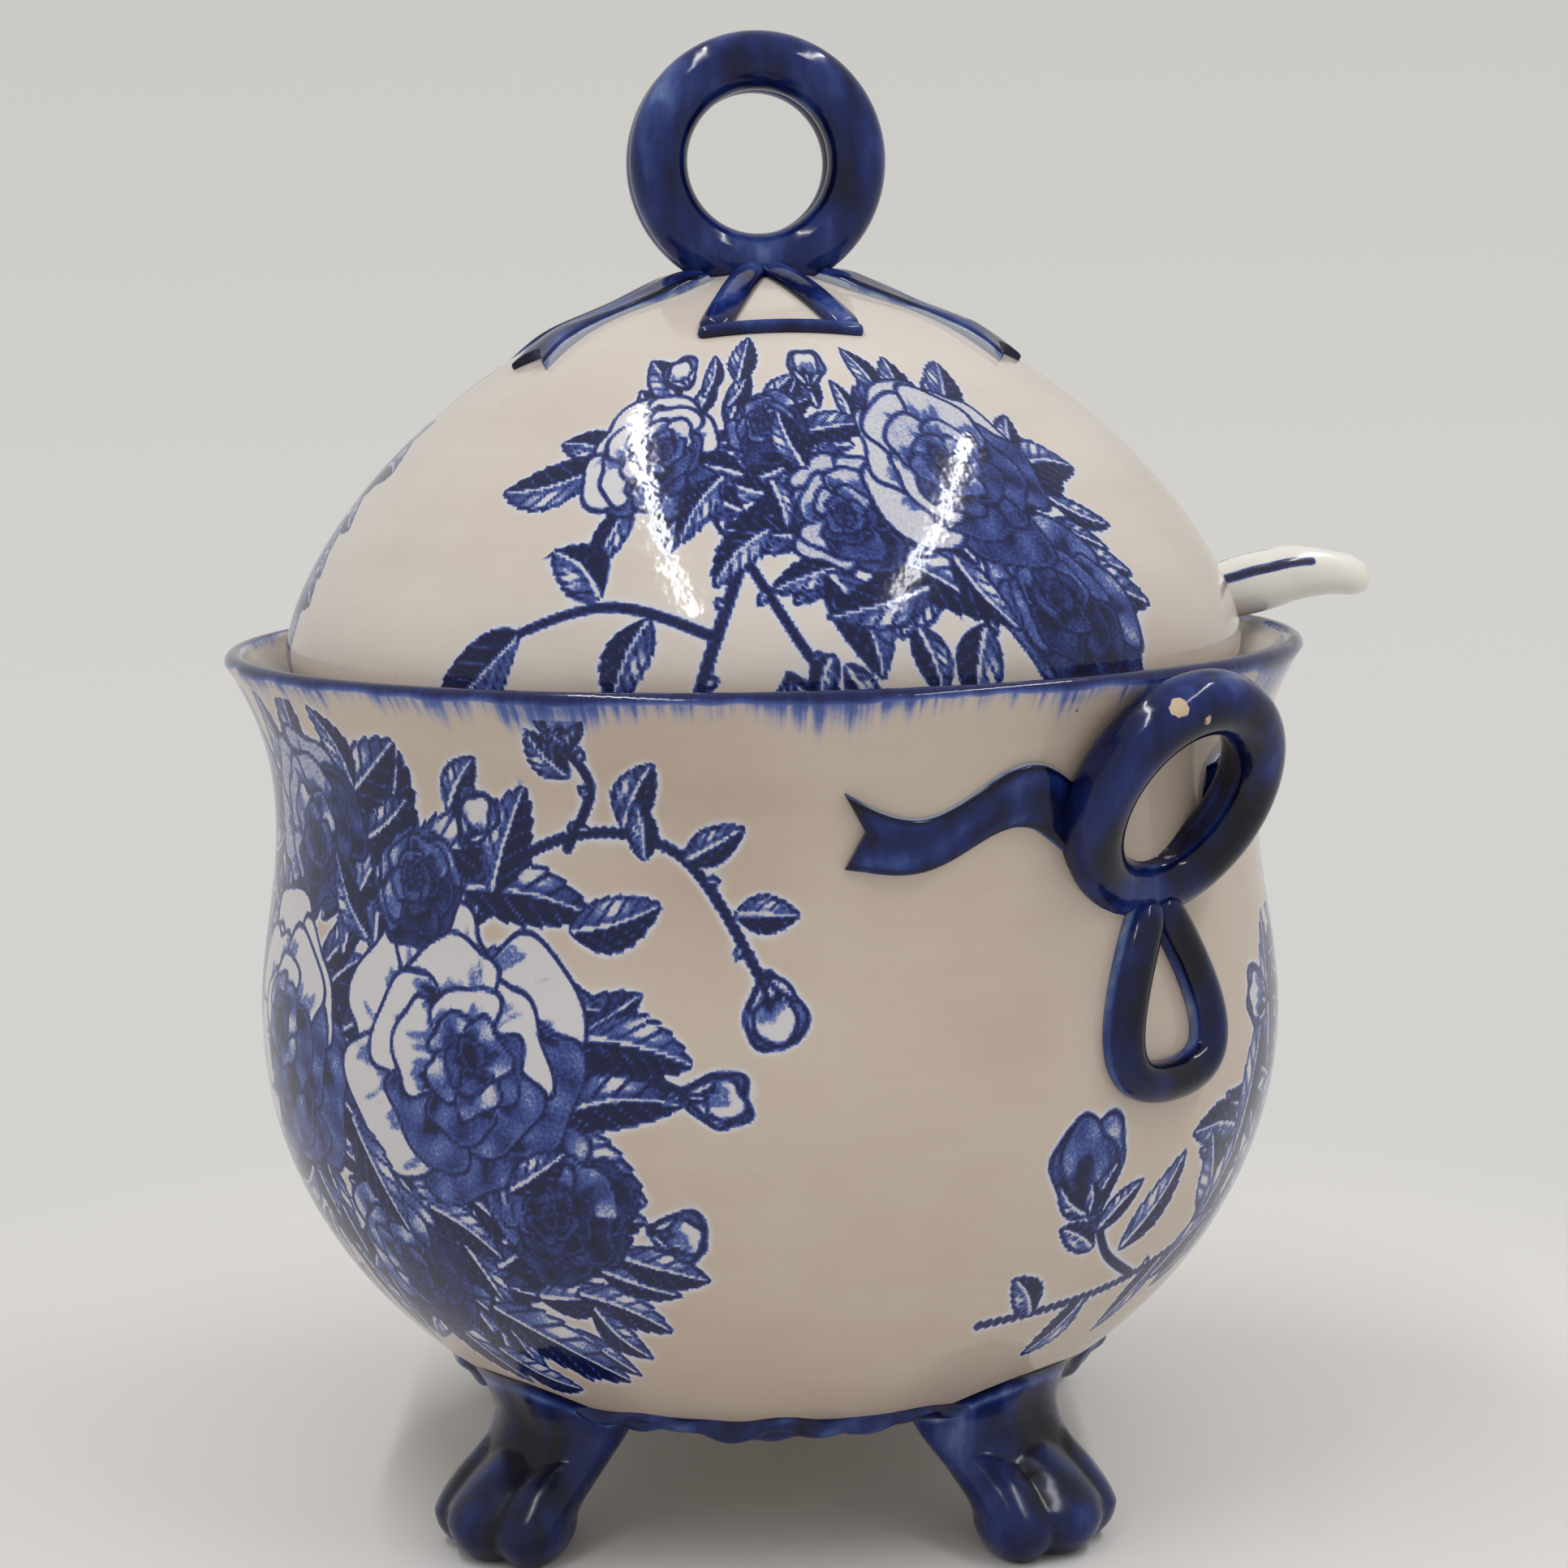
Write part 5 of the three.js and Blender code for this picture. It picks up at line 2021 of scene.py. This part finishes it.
@dataclass
class Finial(Trim):
    """The double-bead ring on the lid with its bow loops and ribbons."""

    radius: float = 21.5
    bead: float = 6.3
    spread: float = 4.6
    height: float = 291.6
    turn: float = math.radians(52)
    bow_width: float = 35.0
    bow_reach: float = 45.0
    bow_neck: float = 9.0
    bow_band: float = 7.0
    bow_bar: float = 3.2
    bow_relief: float = 2.6
    ribbon_angle: float = math.radians(27)
    ribbon: RibbonForm = RibbonForm(start=15.05, end=57.0, width=15.0, waist=11.5, notch=3.5, wave=2.2, relief=2.2)

    def ring(self, t: Array, turn: Array) -> Pair:
        """Places of the ring.

        Args:
            t: Shares along it.
            turn: Turns round its section.

        Returns:
            The places, and the pooled glaze.
        """
        spots, pool = bead_ring(self.radius, self.bead, self.spread, 1.0, t, turn)
        spots[:, 2] += self.height
        return LID.tuck(spots), pool

    def strip(self, ends: list[tuple[float, float]], width: float, relief: float) -> Place:
        """Half-round strip along a bend through three points.

        Args:
            ends: The three points, in plan.
            width: The strip's width.
            relief: How far it stands up.

        Returns:
            What places the strip's vertices.
        """
        start, bend, end = (np.array(spot) for spot in ends)

        def place(t: Array, turn: Array) -> Pair:
            """Places of the strip.

            Args:
                t: Shares along it.
                turn: Turns round its section.

            Returns:
                The places, and the pooled glaze.
            """
            s = t[:, None]
            line = (1 - s) ** 2 * start + 2 * s * (1 - s) * bend + s**2 * end
            slope = (1 - s) * (bend - start) + s * (end - bend)
            slope /= np.linalg.norm(slope, axis=1)[:, None]
            flat = half_round(line, slope, t, turn, width, relief)
            return LID.tuck(LID.drape(flat)), 0.5 + 0.3 * np.abs(np.cos(turn)) ** 3

        return place

    def bow(self, side: int) -> BMesh:
        """Three-sided loop in front of the ring (side -1) or behind it (side 1).

        Args:
            side: -1 or 1.

        Returns:
            The loop's mesh.
        """
        reach = side * (self.bow_reach - self.bow_bar / 2)
        half = (self.bow_width - self.bow_band) / 2
        neck = (self.bow_neck - self.bow_band) / 2
        over = half + self.bow_band * 0.45
        lines = [([(end * neck, side * self.bead), (end * half * 0.5, reach * 0.62), (end * half, reach)],
                  self.bow_band, self.bow_relief) for end in (-1, 1)]
        lines.append(([(-over, reach), (0, reach * 1.05), (over, reach)], self.bow_bar, self.bow_relief * 0.8))
        whole = bmesh.new()
        for ends, width, relief in lines:
            part = rolled(60, 20, self.strip(ends, width, relief))
            mesh = meshed(part, "strip")
            whole.from_mesh(mesh)
            bpy.data.meshes.remove(mesh)
        return whole

    def tail(self, t: Array, turn: Array, side: int, end: int) -> Pair:
        """Ribbon beside the ring: side -1 is in front of it, end 1 is on its right.

        Args:
            t: Shares along it.
            turn: Turns round its section.
            side: -1 or 1.
            end: 1 or -1.

        Returns:
            The places, and the pooled glaze.
        """
        flat, pool = self.ribbon.places(t, turn)
        flat[:, 1] *= side * end
        angle = side * self.ribbon_angle if end > 0 else math.pi - side * self.ribbon_angle
        return LID.tuck(LID.drape(turned(flat, angle))), pool

    def build(self) -> list[Object]:
        """Builds and dresses the ring, its loops and its ribbons.

        Returns:
            The pieces.
        """
        made = [("finial_ring", rolled(120, 48, self.ring))]
        for name, side in (("front", -1), ("back", 1)):
            made.append(("finial_bow_" + name, self.bow(side)))
            for hand, end in (("right", 1), ("left", -1)):
                bm = rolled(72, 24, lambda t, turn, s=side, e=end: self.tail(t, turn, s, e))
                made.append(("finial_ribbon_%s_%s" % (name, hand), bm))
        pieces = []
        for node, bm in made:
            placed(bm, turned(spots_of(bm), self.turn))
            pieces.append(self.dress(finished(bm, "glazed_" + node, Body.LID, (node,))))
        return pieces


# The ladle


@dataclass
class Ladle:
    """The ladle: a deep round bowl and a strap handle that hooks over the rim."""

    turn: float = math.radians(56)
    radius: float = 35.0
    depth: float = 30.0
    wall: float = 3.5
    foot: float = 11.0
    low: float = 37.3
    strap_width: float = 13.0
    strap_thickness: float = 11.0
    strap_swell: float = 1.06
    hook_reach: float = 25.0
    hook_rise: float = 3.4
    hook_height: float = 194.8
    crown: float = 2.5
    taper: float = 0.34
    glaze: WhiteGlaze = WhiteGlaze("white_ladle_glaze")

    def __post_init__(self) -> None:
        """Makes the finish once for both pieces."""
        self.finish = self.glaze.material()

    def outside(self) -> Array:
        """Outer line of the ladle's bowl, from its foot to its rim."""
        climb = np.linspace(0, math.pi / 2, 28)
        return rows(self.foot + (self.radius - self.foot) * np.sin(climb),
                    self.low + self.depth * (1 - np.cos(climb)))

    def bowl(self) -> BMesh:
        """The ladle's bowl.

        Returns:
            Its mesh.
        """
        outer = self.outside()
        side = np.linspace(0, 1, len(outer))
        inner = rows(outer[:, 0] - self.wall * (0.4 + 0.6 * side), outer[:, 1] + self.wall * (1 - side))
        bend = np.pi * np.linspace(0, 1, 7)[1:-1]
        rim = self.radius - self.wall / 2
        lip = rows(rim + self.wall / 2 * np.cos(bend), self.low + self.depth + self.wall / 3 * np.sin(bend))
        return spun(np.vstack([[(0, self.low)], outer, lip, inner[::-1], [(0, self.low + self.wall)]]), 72)

    def line(self) -> Array:
        """Middle line of the handle in (out, up).

        Returns:
            The line, one point in each row.
        """
        thick, past = self.strap_thickness, LID.seat_radius - 4.5 - self.strap_thickness
        rim, high = BOWL.rim_radius - BOWL.lip, self.hook_height
        mid = (self.low + self.depth + BOWL.ledge_height) / 2
        return through(np.array([
            (self.radius - self.wall * 0.3, self.low + self.depth - self.wall * 0.85),
            ((self.radius + past) / 2 + thick * 0.1, mid - thick * 0.27),
            (past + thick * 0.1, BOWL.ledge_height - thick * 0.64),
            (past + thick * 0.55, BOWL.ledge_height + thick * 0.55), (past + thick * 1.36, high - thick * 0.23),
            (rim - thick * 0.64, high + self.hook_rise * 0.12), (rim, high + self.hook_rise * 0.44),
            (rim + self.hook_reach * 0.3, high + self.hook_rise * 0.8),
            (rim + self.hook_reach * 0.68, high + self.hook_rise * 0.8),
            (rim + self.hook_reach, high + self.hook_rise * 0.35)]), 400)

    def strap(self, step: Array, turn: Array) -> Pair:
        """Places of the handle, and the blue line painted along its upper edge.

        Args:
            step: Shares along it.
            turn: Turns round its section.

        Returns:
            The places, and the ink of the line.
        """
        line = self.line()
        slopes = np.gradient(line, axis=0)
        slopes /= np.linalg.norm(slopes, axis=1)[:, None]
        t = 1 - (1 - step) ** 1.5
        share = np.linspace(0, 1, len(line))
        x, z, sx, sz = (np.interp(t, share, column) for column in (*line.T, *slopes.T))
        tip = np.sqrt(np.clip(1 - (np.clip(t - 0.965, 0, None) / 0.035) ** 2, 0, 1)) * np.clip(step / 0.01, 0, 1)
        hump = (self.strap_swell - 1) * (smooth(t, 0.64, 0.76) - smooth(t, 0.82, 0.98))
        crown = self.crown * smooth(t, 0.74, 0.86) * (1 - smooth(t, 0.88, 0.99)) * np.clip(np.sin(turn), 0, 1)
        slim = 1 - self.taper * smooth(t, 0.84, 0.97) * (np.sin(turn) < 0)
        across = np.sign(np.cos(turn)) * np.abs(np.cos(turn)) ** 0.75
        swell = 0.72 + 0.28 * smooth(t, 0.3, 0.7) + hump
        thick = np.sin(turn) * self.strap_thickness / 2 * swell * tip * slim + crown * tip
        wide = across * self.strap_width / 2 * tip
        spots = rows(x - sz * thick, wide, z + sx * thick)
        out = radii(spots)
        wall = self.outside()
        face = np.interp(spots[:, 2], wall[:, 1], wall[:, 0]) - SINK
        within = (out < face) & (spots[:, 2] < self.low + self.depth + self.wall)
        spots = widened(spots, np.where(within, face / np.maximum(out, 1), 1))
        aim = 2.6 - 0.1 * smooth(t, 0.82, 0.94)
        stroke = smooth(t, 0.6, 0.66) * (1 - smooth(t, 0.918, 0.925)) * peak(turn, aim, 0.15, 4)
        fine = 0.5 * smooth(t, 0.6, 0.66) * (1 - smooth(t, 0.87, 0.91)) * peak(turn, 1.72, 0.07)
        return spots, np.maximum(stroke, fine)

    def build(self) -> list[Object]:
        """Builds and dresses the ladle.

        Returns:
            The bowl and the handle.
        """
        handle = rolled(200, 64, self.strap)
        pieces = []
        for node, bm in (("ladle_bowl", self.bowl()), ("ladle_handle", handle)):
            placed(bm, turned(spots_of(bm), self.turn))
            piece = finished(bm, "glazed_" + node, Body.LADLE, (node,))
            line = layer_of(piece.data, "pool") if node == "ladle_handle" else np.zeros(len(piece.data.vertices))
            keep_layer(piece.data, "line", line)
            piece.data.materials.append(self.finish)
            pieces.append(piece)
        return pieces


# The studio


@dataclass
class Studio:
    """Camera at the photograph's angle, two long overhead lamps, soft sky and a seamless paper."""

    azimuth: float = math.radians(46)
    distance: float = 700.0
    height: float = 253.8
    pitch: float = math.radians(8)
    yaw: float = math.radians(0.32)
    roll: float = math.radians(0.98)
    lens: float = 72.76
    sensor: float = 36.0
    nearest: float = 0.01
    lamp_height: float = 1400.0
    lamps: tuple[tuple[float, float, float], ...] = ((-420.0, 313.0, -1164.0), (730.0, 434.0, -1003.0))
    lamp_width: float = 42.0
    lamp_watts: float = 7.5
    sky: float = 0.64
    sky_colour: Colour = (1.0, 0.985, 0.965, 1)
    paper_side: float = 9000.0
    paper_flat: float = 1500.0
    paper_bend: float = 900.0
    paper_top: float = 5000.0
    paper: PalePaper = PalePaper("pale_paper")

    def axes(self) -> Pair:
        """Level axes of the view: to the right and away."""
        cos, sin = math.cos(self.azimuth), math.sin(self.azimuth)
        return np.array([cos, sin, 0]), np.array([-sin, cos, 0])

    def camera(self) -> None:
        """Sets up the camera."""
        right, away = self.axes()
        up = np.array([0, 0, 1.0])
        place = -away * self.distance + up * self.height
        right, away = (right * math.cos(self.yaw) - away * math.sin(self.yaw),
                       right * math.sin(self.yaw) + away * math.cos(self.yaw))
        aim = away * math.cos(self.pitch) - up * math.sin(self.pitch)
        top = away * math.sin(self.pitch) + up * math.cos(self.pitch)
        side = right * math.cos(self.roll) - top * math.sin(self.roll)
        top = right * math.sin(self.roll) + top * math.cos(self.roll)
        camera = added("camera", bpy.data.cameras.new("camera"))
        camera.data.lens, camera.data.sensor_width, camera.data.clip_start = self.lens, self.sensor, self.nearest
        pose = np.eye(4)
        pose[:3] = rows(side, top, -aim, place * MM)
        camera.matrix_world = Matrix(pose.tolist())
        bpy.context.scene.camera = camera

    def light(self) -> None:
        """Hangs the lamps and lights the sky."""
        right, away = self.axes()
        for k, (side, far, near) in enumerate(self.lamps):
            lamp = bpy.data.lights.new("lamp_%d" % k, "AREA")
            lamp.shape, lamp.energy = "RECTANGLE", self.lamp_watts
            lamp.size, lamp.size_y = self.lamp_width * MM, (far - near) * MM
            pose = np.eye(4)
            pose[:3, 0], pose[:3, 1] = right, away
            pose[:3, 3] = (right * side + away * (far + near) / 2 + np.array([0, 0, self.lamp_height])) * MM
            added("lamp_%d" % k, lamp).matrix_world = Matrix(pose.tolist())
        world = bpy.data.worlds.new("sky")
        bpy.context.scene.world = world
        world.use_nodes = True
        background = world.node_tree.nodes["Background"]
        background.inputs["Color"].default_value = self.sky_colour
        background.inputs["Strength"].default_value = self.sky

    def backdrop(self) -> None:
        """Lays the paper: a floor that sweeps up behind the tureen."""
        right, away = self.axes()
        start, bend = self.paper_flat, self.paper_bend
        line = [(-self.paper_side, 0.0)]
        line += [(start + bend * math.sin(a), bend - bend * math.cos(a)) for a in np.linspace(0, math.pi / 2, 25)]
        line += [(start + bend, self.paper_top)]
        bm = bmesh.new()
        verts = [bm.verts.new(away * far - right * self.paper_side + np.array([0, 0, up])) for far, up in line]
        edges = [bm.edges.new(pair) for pair in zip(verts, verts[1:])]
        sheet = bmesh.ops.extrude_edge_only(bm, edges=edges)["geom"]
        moved = [item for item in sheet if isinstance(item, bmesh.types.BMVert)]
        bmesh.ops.translate(bm, verts=moved, vec=right * 2 * self.paper_side)
        mesh = meshed(bm, "paper")
        mesh.transform(Matrix.Scale(MM, 4))
        mesh.shade_smooth()
        mesh.materials.append(self.paper.material())
        added("paper", mesh)

    def build(self) -> None:
        """Sets up the whole studio."""
        self.camera()
        self.light()
        self.backdrop()
        bpy.context.scene.view_settings.view_transform = "Standard"


def main() -> None:
    """Builds the studio and every piece in order."""
    logging.basicConfig(level=logging.INFO, format="%(name)s: %(message)s")
    Studio().build()
    makers = (PrintedBowl(), Feet(PooledCobalt("pooled_cobalt_feet", depth=0.1, rough=0.14)),
              Handles(PooledCobalt("pooled_cobalt_handles", depth=0.17, chips=RING_CHIPS)), PrintedLid(),
              Finial(PooledCobalt("pooled_cobalt_finial", depth=0.03)), Ladle())
    for maker in makers:
        for piece in maker.build():
            piece.data.calc_loop_triangles()
            log.info("%s: %d triangles", piece.name, len(piece.data.loop_triangles))


if __name__ == "__main__":
    main()
